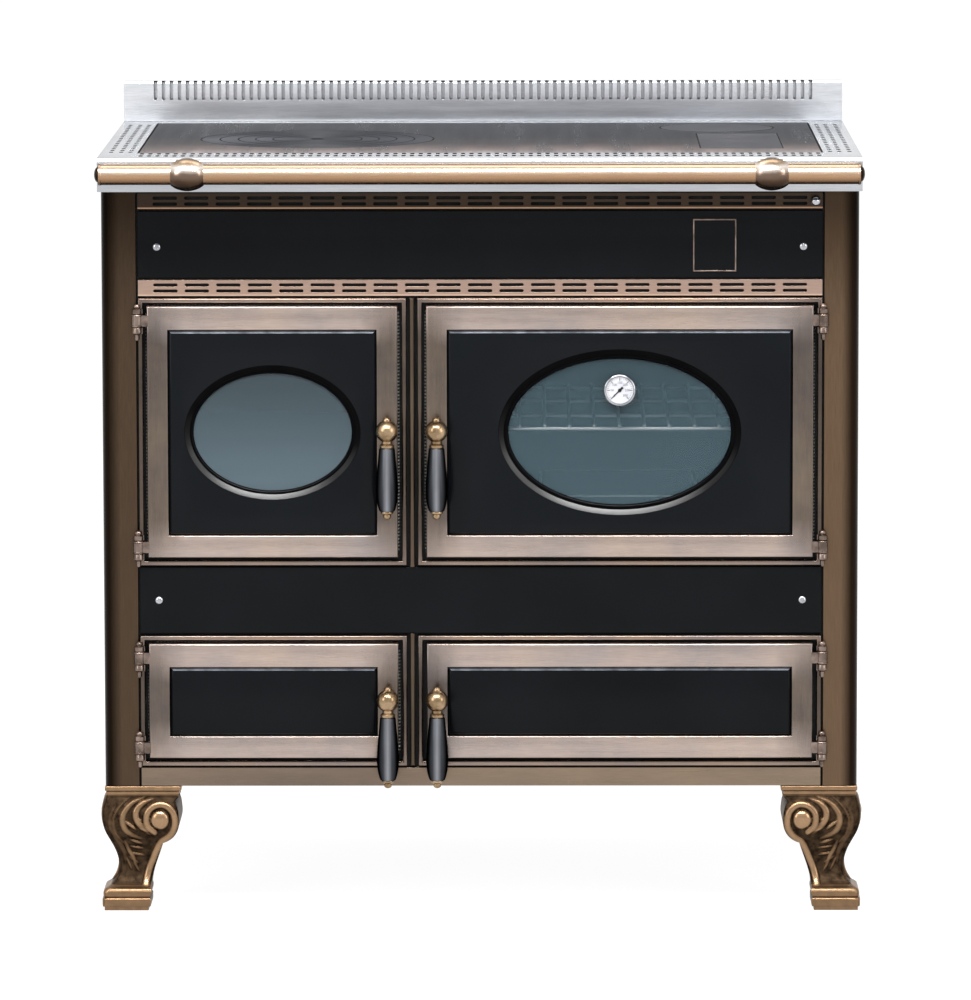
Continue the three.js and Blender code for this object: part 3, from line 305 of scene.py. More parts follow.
def combine(target, tool_mesh, operation="DIFFERENCE"):
    """Cuts or joins one bmesh with another and returns the result as a new bmesh."""
    objects = []
    for label, bm in (("target", target), ("tool", tool_mesh)):
        bmesh.ops.recalc_face_normals(bm, faces=bm.faces)
        mesh = bpy.data.meshes.new(label)
        bm.to_mesh(mesh)
        bm.free()
        thing = bpy.data.objects.new(label, mesh)
        scene.collection.objects.link(thing)
        objects.append(thing)
    body, tool = objects
    boolean = body.modifiers.new("combine", "BOOLEAN")
    boolean.object = tool
    boolean.operation = operation
    boolean.solver = "EXACT"
    bpy.context.view_layer.update()
    graph = bpy.context.evaluated_depsgraph_get()
    result = bmesh.new()
    result.from_mesh(bpy.data.meshes.new_from_object(body.evaluated_get(graph)))
    for thing in objects:
        bpy.data.objects.remove(thing)
    bmesh.ops.remove_doubles(result, verts=result.verts, dist=1e-6)
    return result


def dress(node, material, bevel=0.5 * MM, edge=None):
    """Gives a CAD node its material and soft edges, with its mesh left as it is."""
    piece = frame["nodes"][node]
    piece.data.materials.clear()
    piece.data.materials.append(material)
    if edge:
        piece.data.materials.append(edge)
    weld = piece.modifiers.new("weld", "WELD")
    weld.merge_threshold = 1e-6
    if bevel:
        soften(piece, bevel)
    if edge:
        piece.modifiers["soft_edges"].material = 1


# ---------------------------------------------------------------- materials


def colour(code):
    """A linear colour from a hexadecimal sRGB code."""
    values = [int(code[i : i + 2], 16) / 255 for i in (1, 3, 5)]
    linear = [v / 12.92 if v <= 0.04045 else ((v + 0.055) / 1.055) ** 2.4 for v in values]
    return (*linear, 1)


class Paint:
    """A procedural material under construction."""

    def __init__(self, name, roughness, metallic=0, **sockets):
        self.material = bpy.data.materials.new(name)
        self.material.use_nodes = True
        self.tree = self.material.node_tree
        self.shader = self.tree.nodes["Principled BSDF"]
        for socket, value in {"Roughness": roughness, "Metallic": metallic, **sockets}.items():
            self.feed(socket.replace("_", " "), value)

    def connect(self, value, target):
        """Links an output to a socket, or sets the socket to a constant."""
        if hasattr(value, "is_linked"):
            self.tree.links.new(value, target)
        else:
            target.default_value = value

    def feed(self, socket, value):
        self.connect(value, self.shader.inputs[socket])

    def base(self, value):
        self.feed("Base Color", value)

    def node(self, kind, settings=(), **inputs):
        made = self.tree.nodes.new("ShaderNode" + kind)
        for name, value in settings:
            setattr(made, name, value)
        for socket, value in inputs.items():
            self.connect(value, made.inputs[socket.replace("_", " ")])
        return made

    def noise(self, scale, stretch=(1, 1, 1), detail=4, roughness=0.55):
        place = self.node("Mapping", Vector=self.node("TexCoord").outputs["Object"], Scale=stretch)
        settings = {"Scale": scale, "Detail": detail, "Roughness": roughness}
        return self.node("TexNoise", Vector=place.outputs["Vector"], **settings).outputs["Fac"]

    def ramp(self, value, *stops):
        """Colours or shares along a value. A colour is a hexadecimal code."""
        made = self.node("ValToRGB", Fac=value)
        elements = made.color_ramp.elements
        while len(elements) < len(stops):
            elements.new(0.5)
        for element, (position, shade) in zip(elements, stops):
            element.position = position
            element.color = colour(shade) if isinstance(shade, str) else (shade, shade, shade, 1)
        return made.outputs["Color"]

    def mix(self, factor, a, b, blend="MIX"):
        made = self.node("Mix", (("data_type", "RGBA"), ("blend_type", blend)))
        for key, value in (("Factor_Float", factor), ("A_Color", a), ("B_Color", b)):
            self.connect(value, next(s for s in made.inputs if s.identifier == key))
        return next(s for s in made.outputs if s.identifier == "Result_Color")

    def worn(self, tone, pattern, low):
        """A tone darkened to a share of itself where the pattern is low."""
        return self.mix(1, tone, self.ramp(pattern, (0.3, low), (0.7, 1.0)), "MULTIPLY")

    def gloss(self, pattern, low, high, end=0.7):
        """Roughness that follows a pattern."""
        self.feed("Roughness", self.ramp(pattern, (0.3, low), (end, high)))

    def math(self, operation, *values):
        made = self.node("Math", (("operation", operation),))
        for value, target in zip(values, made.inputs):
            self.connect(value, target)
        return made.outputs[0]

    def drift(self, value, noise, reach):
        """A value moved up and down by a noise."""
        return self.math("ADD", value, self.math("MULTIPLY_ADD", noise, reach, -reach / 2))

    def attribute(self, name):
        """A value that the mesh carries at its points."""
        made = self.node("Attribute", (("attribute_name", name), ("attribute_type", "GEOMETRY")))
        return made.outputs["Fac"]

    def share_of(self, axis):
        """0 to 1 from the low side to the high side of the piece."""
        return self.node("SeparateXYZ", Vector=self.node("TexCoord").outputs["Generated"]).outputs[axis]

    def tangent(self, axis):
        made = self.node("Tangent", (("direction_type", "RADIAL"), ("axis", axis)))
        self.feed("Tangent", made.outputs["Tangent"])

    def bump(self, value, strength, distance):
        made = self.node("Bump", Height=value, Strength=strength, Distance=distance)
        self.feed("Normal", made.outputs["Normal"])


ALONG_X = (0.05, 1, 1)
ALONG_Y = (1, 0.05, 1)
ALONG_Z = (1, 1, 0.05)


def brushed(name, dark, light, roughness, grain=ALONG_X, patch=5, anisotropic=0.6, bump=0.08):
    """Brushed metal: broad soft patches of tone under fine streaks along the grain."""
    paint = Paint(name, roughness, metallic=1, Anisotropic=anisotropic)
    patches = paint.noise(patch, detail=5, roughness=0.6, stretch=[max(s, 0.3) for s in grain])
    tone = paint.ramp(patches, (0.36, dark), (0.66, light))
    streaks = paint.noise(1100, stretch=grain, detail=3)
    smears = paint.noise(90, stretch=grain, detail=5)
    paint.base(paint.worn(paint.worn(tone, streaks, 0.88), smears, 0.86))
    paint.gloss(smears, roughness * 0.85, roughness * 1.2)
    paint.tangent("Z" if grain == ALONG_X else "X")
    paint.bump(streaks, bump, 0.0002)
    return paint.material


def bar_bronze(name, stile, bar, roughness=0.28):
    """Brushed bronze of the door frames: the level bars are given a lighter tone than the upright ones, as
    painted light for the brighter sheen they would catch.
    """
    paint = Paint(name, roughness, metallic=1)
    share = paint.attribute("level")
    cloud = paint.noise(11, detail=5, roughness=0.6)
    stile_tone = paint.ramp(cloud, (0.3, stile[0]), (0.7, stile[1]))
    # The level bars take the lighter tone: painted light.
    tone = paint.mix(share, stile_tone, paint.ramp(cloud, (0.3, bar[0]), (0.7, bar[1])))
    streaks, smears = (
        paint.mix(share, *(paint.noise(scale, stretch=grain, detail=detail) for grain in (ALONG_Z, ALONG_X)))
        for scale, detail in ((900, 3), (110, 5))
    )
    paint.base(paint.worn(paint.worn(tone, streaks, 0.86), smears, 0.84))
    paint.gloss(smears, roughness * 0.85, roughness * 1.25)
    paint.bump(streaks, 0.07, 0.0002)
    return paint.material


def pillar_bronze_painted_shade(name, inner, outer, side):
    """Brushed bronze with painted shade toward the round outer edge of the casing and a painted shadow of the
    worktop near its top.
    """
    paint = Paint(name, 0.34, metallic=1)
    # Across the post the tone darkens toward the outer edge: painted shade.
    across = paint.math("MULTIPLY_ADD", paint.share_of("X"), side, 0.5 - 0.5 * side)
    across = paint.drift(across, paint.noise(5, stretch=ALONG_Z), 0.3)
    tone = paint.ramp(across, (0.1, inner), (0.5, inner), (0.8, outer))
    # Near the top the tone is multiplied darker: the worktop's painted shadow.
    tone = paint.mix(1, tone, paint.ramp(paint.share_of("Z"), (0.78, 1.0), (0.97, 0.4)), "MULTIPLY")
    streaks = paint.noise(1000, stretch=ALONG_Z, detail=3)
    paint.base(paint.worn(tone, streaks, 0.84))
    paint.gloss(streaks, 0.3, 0.4)
    paint.bump(streaks, 0.06, 0.0002)
    return paint.material


def rail_copper():
    """Satin copper-bronze tube with a painted highlight along its upper side and painted shade below."""
    paint = Paint("copper_bronze", 0.24, metallic=1)
    height = paint.drift(paint.share_of("Z"), paint.noise(60, stretch=ALONG_X), 0.1)
    # The tone follows height as painted light: dark underneath, pale above the middle, darker again along the
    # very top.
    tone = paint.ramp(height, (0.04, "#3b2d22"), (0.22, "#80644c"), (0.45, "#b08d6e"), (0.7, "#e6d0ba"),
                      (0.82, "#cfb499"), (0.96, "#7a604a"))
    streaks = paint.noise(1100, stretch=ALONG_X, detail=3)
    paint.base(paint.worn(tone, streaks, 0.9))
    paint.gloss(streaks, 0.22, 0.3)
    return paint.material


def support_brass():
    """Aged brass of the rail supports, with a painted highlight on top and painted shade underneath."""
    paint = Paint("dark_brass", 0.22, metallic=1)
    height = paint.drift(paint.share_of("Z"), paint.noise(55, detail=5), 0.16)
    # The tone follows height as painted light: near black low down, near white high up.
    paint.base(paint.ramp(height, (0.08, "#120c08"), (0.3, "#46362b"), (0.55, "#7d6a5c"), (0.74, "#f1e6dc"),
                          (0.86, "#a38b72"), (1.0, "#54402f")))
    paint.gloss(paint.noise(60, detail=5), 0.2, 0.34, end=0.75)
    return paint.material


def oval_bevel():
    """Glossy enamel of the bevel round a window, its specular strength raised along the lower half as a
    painted highlight.
    """
    paint = Paint("bevel_enamel", 0.3)
    glint = paint.attribute("glint")
    paint.base(paint.ramp(paint.noise(50, detail=3), (0.3, "#030304"), (0.7, "#060607")))
    paint.feed("Specular IOR Level", paint.ramp(glint, (0.45, 0.02), (0.72, 0.16), (0.97, 0.8)))
    return paint.material


def strip_bronze(name, shade, light, edge):
    """Pressed bronze strip with a painted highlight along its lower edge."""
    paint = Paint(name, 0.3, metallic=1)
    tone = paint.ramp(paint.noise(6, stretch=ALONG_X, detail=5), (0.35, shade), (0.65, light))
    streaks = paint.noise(1100, stretch=ALONG_X, detail=3)
    # A band along the bottom takes the pale edge colour: a painted highlight.
    worn = paint.ramp(paint.share_of("Z"), (0.07, 1.0), (0.12, 0.0))
    paint.base(paint.worn(paint.mix(worn, tone, colour(edge)), streaks, 0.85))
    paint.bump(streaks, 0.06, 0.0002)
    return paint.material


def enamel(name, shade, sheen="#0c0e11", roughness=0.2, specular=0.09):
    """Black vitreous enamel, nearly even in tone."""
    paint = Paint(name, roughness, Specular_IOR_Level=specular)
    cloud = paint.noise(6, detail=3)
    paint.base(paint.ramp(cloud, (0.3, shade), (0.75, sheen)))
    paint.bump(paint.noise(220, detail=2), 0.03, 0.0003)
    return paint.material


def painted(name, shade, light, roughness=0.55, bump=0.1):
    """Satin paint with a fine grain."""
    paint = Paint(name, roughness, Specular_IOR_Level=0.3)
    paint.base(paint.ramp(paint.noise(30, detail=6), (0.35, shade), (0.7, light)))
    paint.bump(paint.noise(260), bump, 0.0004)
    return paint.material


def hob_iron():
    """Ground hob plate, lighter and browner toward its front edge, and brushed from front to back."""
    paint = Paint("hob_metal", 0.3, metallic=1, Specular_Tint=(0.28, 0.28, 0.29, 1))
    cloud = paint.noise(7, detail=6, roughness=0.6)
    depth = paint.drift(paint.share_of("Y"), cloud, 0.22)
    tone = paint.ramp(
        depth, (0.0, "#f2e6e3"), (0.12, "#c2b0aa"), (0.3, "#776e6b"), (0.5, "#5f5f62"), (1.0, "#6d6f73")
    )
    streaks = paint.noise(420, stretch=ALONG_Y)
    smears = paint.noise(40, stretch=ALONG_Y, detail=5)
    paint.base(paint.worn(paint.worn(tone, streaks, 0.82), smears, 0.72))
    paint.gloss(smears, 0.24, 0.36)
    paint.bump(streaks, 0.05, 0.0002)
    return paint.material


def ground_iron(name, dark, light, anisotropic=0.0):
    """Ground hob metal. Round pieces were turned, so their sheen runs round the axis."""
    paint = Paint(name, 0.38, metallic=1, Anisotropic=anisotropic, Specular_Tint=(0.3, 0.3, 0.31, 1))
    cloud = paint.noise(9, detail=6, roughness=0.6)
    fine = paint.noise(500, stretch=(1, 1, 1) if anisotropic else ALONG_X, detail=3)
    tone = paint.ramp(cloud, (0.35, dark), (0.65, light))
    paint.base(paint.mix(0.35, tone, paint.ramp(fine, (0.3, dark), (0.7, light))))
    paint.gloss(cloud, 0.3, 0.42)
    if anisotropic:
        paint.tangent("Z")
    paint.bump(fine, 0.05, 0.0002)
    return paint.material


def polished(name, shade, light, roughness=0.14):
    """Polished or plated metal with faint wear."""
    paint = Paint(name, roughness, metallic=1)
    smudge = paint.noise(60, detail=5)
    paint.base(paint.ramp(smudge, (0.35, shade), (0.7, light)))
    paint.gloss(smudge, roughness, roughness * 1.8, end=0.75)
    return paint.material


def antique_bronze():
    """Cast bronze, dark in its hollows and rubbed bright on its raised parts."""
    paint = Paint("antique_bronze", 0.34, metallic=1)
    relief = paint.attribute("relief")
    rub = paint.noise(120, detail=6)
    tone = paint.ramp(relief, (0.05, "#17110c"), (0.45, "#5c4734"), (0.85, "#a68768"))
    paint.base(paint.mix(0.22, tone, paint.ramp(rub, (0.35, "#33271c"), (0.65, "#8b6f54"))))
    paint.feed("Roughness", paint.ramp(relief, (0.1, 0.6), (0.8, 0.27)))
    paint.bump(paint.noise(420, detail=5), 0.16, 0.0004)
    return paint.material


def clear_glass(name, low, high, opacity):
    """Smoked ceramic glass, a little darker toward its top."""
    paint = Paint(name, 0.05, Alpha=opacity, Specular_IOR_Level=0.3)
    height = paint.drift(paint.share_of("Z"), paint.noise(14, stretch=ALONG_X), 0.3)
    paint.base(paint.ramp(height, (0.15, low), (0.85, high)))
    return paint.material


def braided_rope():
    """Black and pale strands, told apart by the weave of the rope's own surface."""
    paint = Paint("braided_rope", 0.9, Specular_IOR_Level=0.2)
    strands = paint.ramp(paint.attribute("weave"), (0.5, "#0d0c0b"), (0.62, "#f0eee9"))
    fibres = paint.noise(1500, detail=3)
    paint.base(paint.worn(strands, fibres, 0.6))
    paint.bump(fibres, 0.5, 0.0005)
    return paint.material


def fired_clay():
    paint = Paint("fired_clay", 0.95, Specular_IOR_Level=0.1)
    paint.base(paint.ramp(paint.noise(45, detail=8), (0.3, "#6f6350"), (0.7, "#a99878")))
    paint.bump(paint.noise(60, detail=3), 0.25, 0.001)
    return paint.material


def satin_grip():
    """Charcoal grip with a painted highlight down its middle."""
    paint = Paint("charcoal", 0.36, metallic=1, Specular_Tint=(0, 0, 0, 1))
    # Across the grip the tone rises to a pale stripe in the middle: a painted highlight, dark toward the
    # sides.
    stops = (0.08, "#17181a"), (0.3, "#3a3c40"), (0.5, "#8a8c92"), (0.68, "#3e4044"), (0.92, "#17181a")
    tone = paint.ramp(paint.share_of("X"), *stops)
    paint.base(paint.worn(tone, paint.noise(40, detail=5), 0.85))
    paint.bump(paint.noise(500, detail=3), 0.06, 0.0003)
    return paint.material


stainless = brushed("stainless", "#c0c3c8", "#dadce0", 0.22, patch=3, bump=0.04)
# A brighter copy of the stainless for the upright backsplash: painted light.
splash_steel = brushed("splash_steel", "#e3e6ec", "#fbfcfe", 0.22, patch=2, bump=0.04)
hob_metal = hob_iron()
# The rings are set darker than the cap: painted shade standing for the dark parts of their reflection.
ring_metal = ground_iron("ring_metal", "#45474b", "#66686d", anisotropic=0.75)
cap_metal = ground_iron("cap_metal", "#68686b", "#808084")
# Near black: the soot of real joints on the hob, and painted shade inside the slots of the worktop and the
# backsplash.
joint_soot = painted("joint_soot", "#0a0a0a", "#1a1918", roughness=0.9)
door_bronze = bar_bronze("door_bronze", ("#5d5654", "#7d6f62"), ("#a79c99", "#c2aea1"))
bead_bronze = bar_bronze("bead_bronze", ("#4c4541", "#6f6156"), ("#8b7f7b", "#a18c7c"), roughness=0.24)
pillar_paints = {
    -1: pillar_bronze_painted_shade("pillar_bronze_left", "#504134", "#1b140e", -1),
    1: pillar_bronze_painted_shade("pillar_bronze_right", "#6a5644", "#221912", 1),
}
rail_bronze = brushed("rail_bronze", "#6f6259", "#98846f", 0.28, patch=4)
# The upper grille is a darker copy of the lower grille's bronze: the worktop's painted shadow.
grille_shade = strip_bronze("grille_shade", "#302721", "#463b32", edge="#a5836a")
grille_bronze = strip_bronze("grille_bronze", "#a08d84", "#bd9d8a", edge="#d6b8a3")
copper_bronze = rail_copper()
mullion_bronze = brushed("mullion_bronze", "#4f4439", "#6f6051", 0.3, grain=ALONG_Z, patch=9)
hinge_bronze = polished("hinge_bronze", "#5c5048", "#94837a", roughness=0.22)
aged_brass = polished("aged_brass", "#7a654b", "#b39a7c", roughness=0.2)
cap_bronze = polished("cap_bronze", "#17110c", "#33261c", roughness=0.3)
dark_brass = support_brass()
chrome = polished("chrome", "#94969b", "#c4c6ca", roughness=0.12)
bright_wire = polished("bright_wire", "#f4f5f6", "#ffffff", roughness=0.3)
black_enamel = enamel("black_enamel", "#07080a")
panel_enamel = enamel("panel_enamel", "#0a0c0f", sheen="#0e1114")
bevel_enamel = oval_bevel()
edge_glint = polished("edge_glint", "#5e636b", "#8b9099", roughness=0.3)
casing_paint = enamel("casing_paint", "#101113", roughness=0.4)
carcass_paint = painted("carcass_paint", "#0e0e0f", "#1b1b1c", bump=0.02)
cast_iron = painted("cast_iron", "#141414", "#2a2826", roughness=0.75, bump=0.4)
charcoal = satin_grip()
bronze_cast = antique_bronze()
fire_glass = clear_glass("fire_glass", "#4a5860", "#303c41", 0.88)
oven_glass = clear_glass("oven_glass", "#465b64", "#3c4f57", 0.4)
rope = braided_rope()
clay = fired_clay()
dial_white = painted("dial_white", "#b4b5bb", "#c6c7cd", roughness=0.5, bump=0.02)
print_black = painted("print_black", "#0b0b0b", "#151515", roughness=0.5)


# ---------------------------------------------------------------- worktop and hob

PERFORATION_PITCH = 10 * MM
FRONT_ROWS = (32.5 * MM, 63.5 * MM)  # behind the front edge
SIDE_COLUMNS = (12 * MM, 24 * MM, 35 * MM)  # from the side of the worktop
SIDE_SLOTS = 17
SIDE_PITCH = 27 * MM


def copy_node(node):
    """A bmesh with the faces of a CAD node, merged into large flat ones."""
    bm = bmesh.new()
    bm.from_mesh(frame["nodes"][node].data)
    bmesh.ops.remove_doubles(bm, verts=bm.verts, dist=1e-6)
    bmesh.ops.dissolve_limit(bm, angle_limit=math.radians(1), verts=bm.verts, edges=bm.edges)
    return bm


def darken(bm):
    """Gives every face of a cutter the second material, which its cuts then carry."""
    for face in bm.faces:
        face.material_index = 1
    return bm


def worktop():
    """Sheet with rows of small blind slots in front of the hob and beside it."""
    low, high = WORKTOP_LOW, WORKTOP_HIGH
    count = int((high.x - low.x - 90 * MM) / PERFORATION_PITCH) + 1
    places = [(x, low.y + depth, 18 * MM) for depth in FRONT_ROWS for x in spread(count, PERFORATION_PITCH)]
    for side in (-1, 1):
        for inset in SIDE_COLUMNS:
            x = side * (high.x - inset)
            places += [(x, low.y + 90 * MM + i * SIDE_PITCH, 13 * MM) for i in range(SIDE_SLOTS)]
    tools = bmesh.new()
    for x, y, length in places:
        outline = [(b, a) for a, b in capsule(y, x, length, 5 * MM, 5)]
        add_prism(tools, outline, flat_point, high.z - 2 * MM, high.z + MM)
    # The slots are blind, and their near-black walls and floors are painted shade where open holes would look
    # into the dark.
    bm = combine(copy_node("worktop_frame"), darken(tools))
    shades = (stainless, joint_soot)
    make("worktop_sheet", bm, shades, "stove", ["worktop_frame"], bevel=0.4 * MM)


COMB_PITCH = 10 * MM
COMB_COUNT = 83
COMB_WIDTH = 4.6 * MM
COMB_DEPTH = 23.5 * MM
COMB_REACH = 13 * MM
SHEET = 2 * MM


def backsplash():
    """A folded channel with slots that run over its top fold."""
    low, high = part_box("backsplash")
    fold = 3 * MM
    outline = [(low.y, low.z), (low.y, high.z - fold)]
    bend = np.linspace(0.2, 1.37, 5)
    outline += [(low.y + fold - fold * math.cos(a), high.z - fold + fold * math.sin(a)) for a in bend]
    outline += [(low.y + fold, high.z), (high.y, high.z), (high.y, low.z)]
    shell = new_mesh(add_prism, outline, lambda y, z, x: (x, y, z), low.x, high.x)
    inside = (low.x + SHEET, low.y + SHEET, low.z - MM), (high.x - SHEET, high.y - SHEET, high.z - SHEET)
    shell = combine(shell, new_mesh(add_box, *inside))
    slots = bmesh.new()
    radius = COMB_WIDTH / 2
    bottom = high.z - COMB_DEPTH + radius
    turn = np.linspace(0, math.pi, 9)
    for x in spread(COMB_COUNT, COMB_PITCH):
        outline = [(x + radius, high.z + MM), (x - radius, high.z + MM)]
        outline += [(x - radius * math.cos(a), bottom - radius * math.sin(a)) for a in turn]
        add_prism(slots, outline, upright_point, low.y - MM, low.y + COMB_REACH)
    # The slot walls take the near-black second material: painted shade.
    bm = combine(shell, darken(slots))
    shades = (splash_steel, joint_soot)
    make("backsplash_sheet", bm, shades, "stove", ["backsplash"], bevel=0.25 * MM)


LIP = 6 * MM
LIP_DEPTH = 4 * MM
CHAMFER = 0.9 * MM


def ring_profile(outer, inner, low, high):
    """Closed profile of a hob ring with a lip outside and a ledge inside."""
    lip, ledge = high - LIP_DEPTH, high - LIP_DEPTH - SEAT
    return [
        (inner - LIP + SEAT, low),
        (outer - LIP, low),
        (outer - LIP, lip),
        (outer, lip),
        (outer, high - CHAMFER),
        (outer - CHAMFER, high),
        (inner + SEAT + CHAMFER, high),
        (inner + SEAT, high - CHAMFER),
        (inner + SEAT, ledge),
        (inner - LIP + SEAT, ledge),
    ]


def cover_profile(radius, low, high, socket=0):
    lip = high - LIP_DEPTH
    top = [(socket, high), (socket, high - 3 * MM), (0, high - 3 * MM)] if socket else [(0, high)]
    edge = [(0, low), (radius - LIP, low), (radius - LIP, lip), (radius, lip), (radius, high - CHAMFER)]
    return edge + [(radius - CHAMFER, high)] + top


def round_place(node):
    """Centre and radius of a round CAD node that lies flat."""
    x, y, _ = middle(node)
    return (x, y, 0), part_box(node)[1].x - x


ROUND_NODES = ("hob_ring_1", "hob_ring_2", "hob_ring_3", "hob_ring_4", "hob_disc")


def hob_part(node, profile, centre, metal, closed=False):
    """A turned piece of the hob. Every face that doesn't lie flat is sooty, as the joints of a hob are."""
    bm = new_mesh(add_lathe, profile, centre, sides=2 * FINE, closed=closed)
    bm.normal_update()
    for face in bm.faces:
        face.material_index = int(abs(face.normal.z) <= 0.9)
    make(f"turned_{node}", bm, (metal, joint_soot), node, [node])


def hob_rings():
    centre, _ = round_place(ROUND_NODES[0])
    radii = [round_place(node)[1] for node in ROUND_NODES]
    low, high = HOB_LOW.z, HOB_HIGH.z
    for node, outer, inner in zip(ROUND_NODES, radii, radii[1:]):
        hob_part(node, ring_profile(outer, inner, low, high), centre, ring_metal, closed=True)
    hob_part("hob_disc", cover_profile(radii[-1], low, high, socket=8 * MM), centre, ring_metal)


def flue_cap():
    centre, radius = round_place("flue_cap")
    hob_part("flue_cap", cover_profile(radius, HOB_LOW.z, HOB_HIGH.z), centre, cap_metal)


def hob_plate():
    """Plate with stepped openings for the rings, the cap and the cleaning cover."""
    outline = Rect(HOB_LOW.x, HOB_HIGH.x, HOB_LOW.y, HOB_HIGH.y).rounded(5 * MM, 6)
    bm = new_mesh(add_prism, outline, flat_point, HOB_LOW.z, HOB_HIGH.z)
    tools = bmesh.new()
    ledge = HOB_HIGH.z - LIP_DEPTH - SEAT
    below, above = HOB_LOW.z - MM, HOB_HIGH.z + MM
    for node in ("hob_ring_1", "flue_cap"):
        centre, r = round_place(node)
        wide, narrow = r + SEAT, r - LIP + SEAT
        profile = [(0, below), (narrow, below), (narrow, ledge), (wide, ledge), (wide, above), (0, above)]
        add_lathe(tools, profile, centre, sides=2 * FINE)
    low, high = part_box("cleaning_cover")
    add_box(tools, (low.x - SEAT, low.y - SEAT, ledge), (high.x + SEAT, high.y + SEAT, above))
    bm = combine(bm, tools)
    inset = LIP - SEAT
    hole = (low.x + inset, low.y + inset, below), (high.x - inset, high.y - inset, above)
    bm = combine(bm, new_mesh(add_box, *hole))
    shades = (hob_metal, joint_soot)
    plate = make("ground_hob_plate", bm, shades, "stove", ["hob_plate"], bevel=CHAMFER)
    plate.modifiers["soft_edges"].material = 1


# ---------------------------------------------------------------- towel rail


def towel_rail():
    """Tube with a stepped cap on each end."""
    _, y, z = middle("towel_rail")
    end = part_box("towel_rail")[1].x - 8 * MM
    cap = mm((12, -0.3), (12.1, 0), (12.7, 0.6), (12.7, 2.6), (11.9, 3.4), (9, 3.6), at=end)
    cap += [(9 * MM * math.cos(a), end + (3.8 + 4.2 * math.sin(a)) * MM) for a in quarter(7)]
    bm = new_mesh(add_lathe, mirrored(cap[::-1]), (0, y, z), axis="X")
    for face in bm.faces:
        face.material_index = int(abs(face.calc_center_median().x) > end + 2.8 * MM)
    shades = (copper_bronze, cap_bronze)
    make("towel_rail_tube", bm, shades, "stove", ["towel_rail"], smooth=40)


def rail_support(node):
    """Barrel round the rail on a stem that stands on the worktop's front."""
    x = middle(node)[0]
    _, y, z = middle("towel_rail")
    half = mm((12.9, 19.25), (16.3, 13.86), (18.6, 6.93))
    bore = mm((12.2, 19.25))[0]
    path = smooth_path(mirrored(half, (19.45 * MM, 0)), 5)
    barrel = [(bore[0], -bore[1])] + path + [bore]
    bm = new_mesh(add_lathe, barrel, (x, y, z), axis="X", closed=True)
    stem = mm((0, 14), (8.6, 14))
    stem += mm((8.6, -5), (9.4, -3.4), (14, -2.6), (14, 0), (0, 0), at=WORKTOP_LOW.y - SEAT - y)
    bm = combine(bm, new_mesh(add_lathe, stem, (x, y, z), axis="Y"), "UNION")
    make(f"turned_{node}", bm, dark_brass, "stove", [node], smooth=40)


# ---------------------------------------------------------------- casing

SLOT_PITCH = 37.2 * MM
SLOT_COUNT = 21
SLOT_LENGTH = 28.8 * MM
SLOT_HEIGHT = 3.6 * MM
SLOT_ROW = 7.1 * MM


def grille(node, material):
    """A folded strip with two rows of round-ended slots."""
    low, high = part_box(node)
    inside = (low.x + SHEET, low.y + SHEET, low.z + SHEET), (high.x - SHEET, high.y + MM, high.z - SHEET)
    shell = combine(new_mesh(add_box, low, high), new_mesh(add_box, *inside))
    slots = bmesh.new()
    for x in spread(SLOT_COUNT, SLOT_PITCH):
        for row in spread(2, SLOT_ROW):
            outline = capsule(x, middle(node)[2] + row, SLOT_LENGTH, SLOT_HEIGHT)
            add_prism(slots, outline, upright_point, low.y - MM, low.y + SHEET + MM)
    if node == "upper_grille":
        x, _, z = rod_place()
        add_lathe(slots, mm((0, -1), (3.6, -1), (3.6, 4), (0, 4)), (x, low.y, z), axis="Y")
    bm = combine(shell, slots)
    make(f"pressed_{node}", bm, material, "stove", [node], bevel=0.35 * MM)


def rod_place():
    """Axis of the bypass rod, at its knob."""
    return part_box("upper_grille")[1].x - 8.5 * MM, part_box("bypass_rod")[0].y, middle("upper_grille")[2]


def bypass_rod():
    x, y, z = rod_place()
    low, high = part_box("bypass_rod")
    radius, length = 6 * MM, high.y - y - MM
    profile = [(max(r, 0), h) for r, h in arc(0, radius, radius, -90, 62, 12)]
    profile += [(2.8 * MM, 2 * radius), (2.8 * MM, length), (0, length)]
    bm = new_mesh(add_lathe, profile, (x, y, z), axis="Y", sides=32)
    bm = combine(bm, new_mesh(add_box, (low.x, high.y - 3 * MM, low.z), high), "UNION")
    make("bypass_knob_and_damper", bm, chrome, "bypass_rod", ["bypass_rod"], smooth=40)


def pillar(node, side):
    """A folded corner post with a wide round outer edge."""
    low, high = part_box(node)
    radius, wall = 13 * MM, 3 * MM
    outer_x, inner_x = (high.x, low.x) if side > 0 else (-low.x, -high.x)
    centre = (outer_x - radius, low.y + radius)
    back = low.y + 9.7 * MM
    outline = [(inner_x, back), (inner_x, low.y)]
    outline += arc(*centre, radius, -90, 0, 14)
    outline += [(outer_x, high.y), (outer_x - wall, high.y)]
    outline += arc(*centre, radius - wall, 0, -90, 14)
    outline += [(inner_x + wall, low.y + wall), (inner_x + wall, back)]
    bm = new_mesh(add_prism, [(side * x, y) for x, y in outline], flat_point, low.z, high.z)
    shade = pillar_paints[side]
    make(f"folded_{node}", bm, shade, "stove", [node], bevel=0.4 * MM, smooth=30)


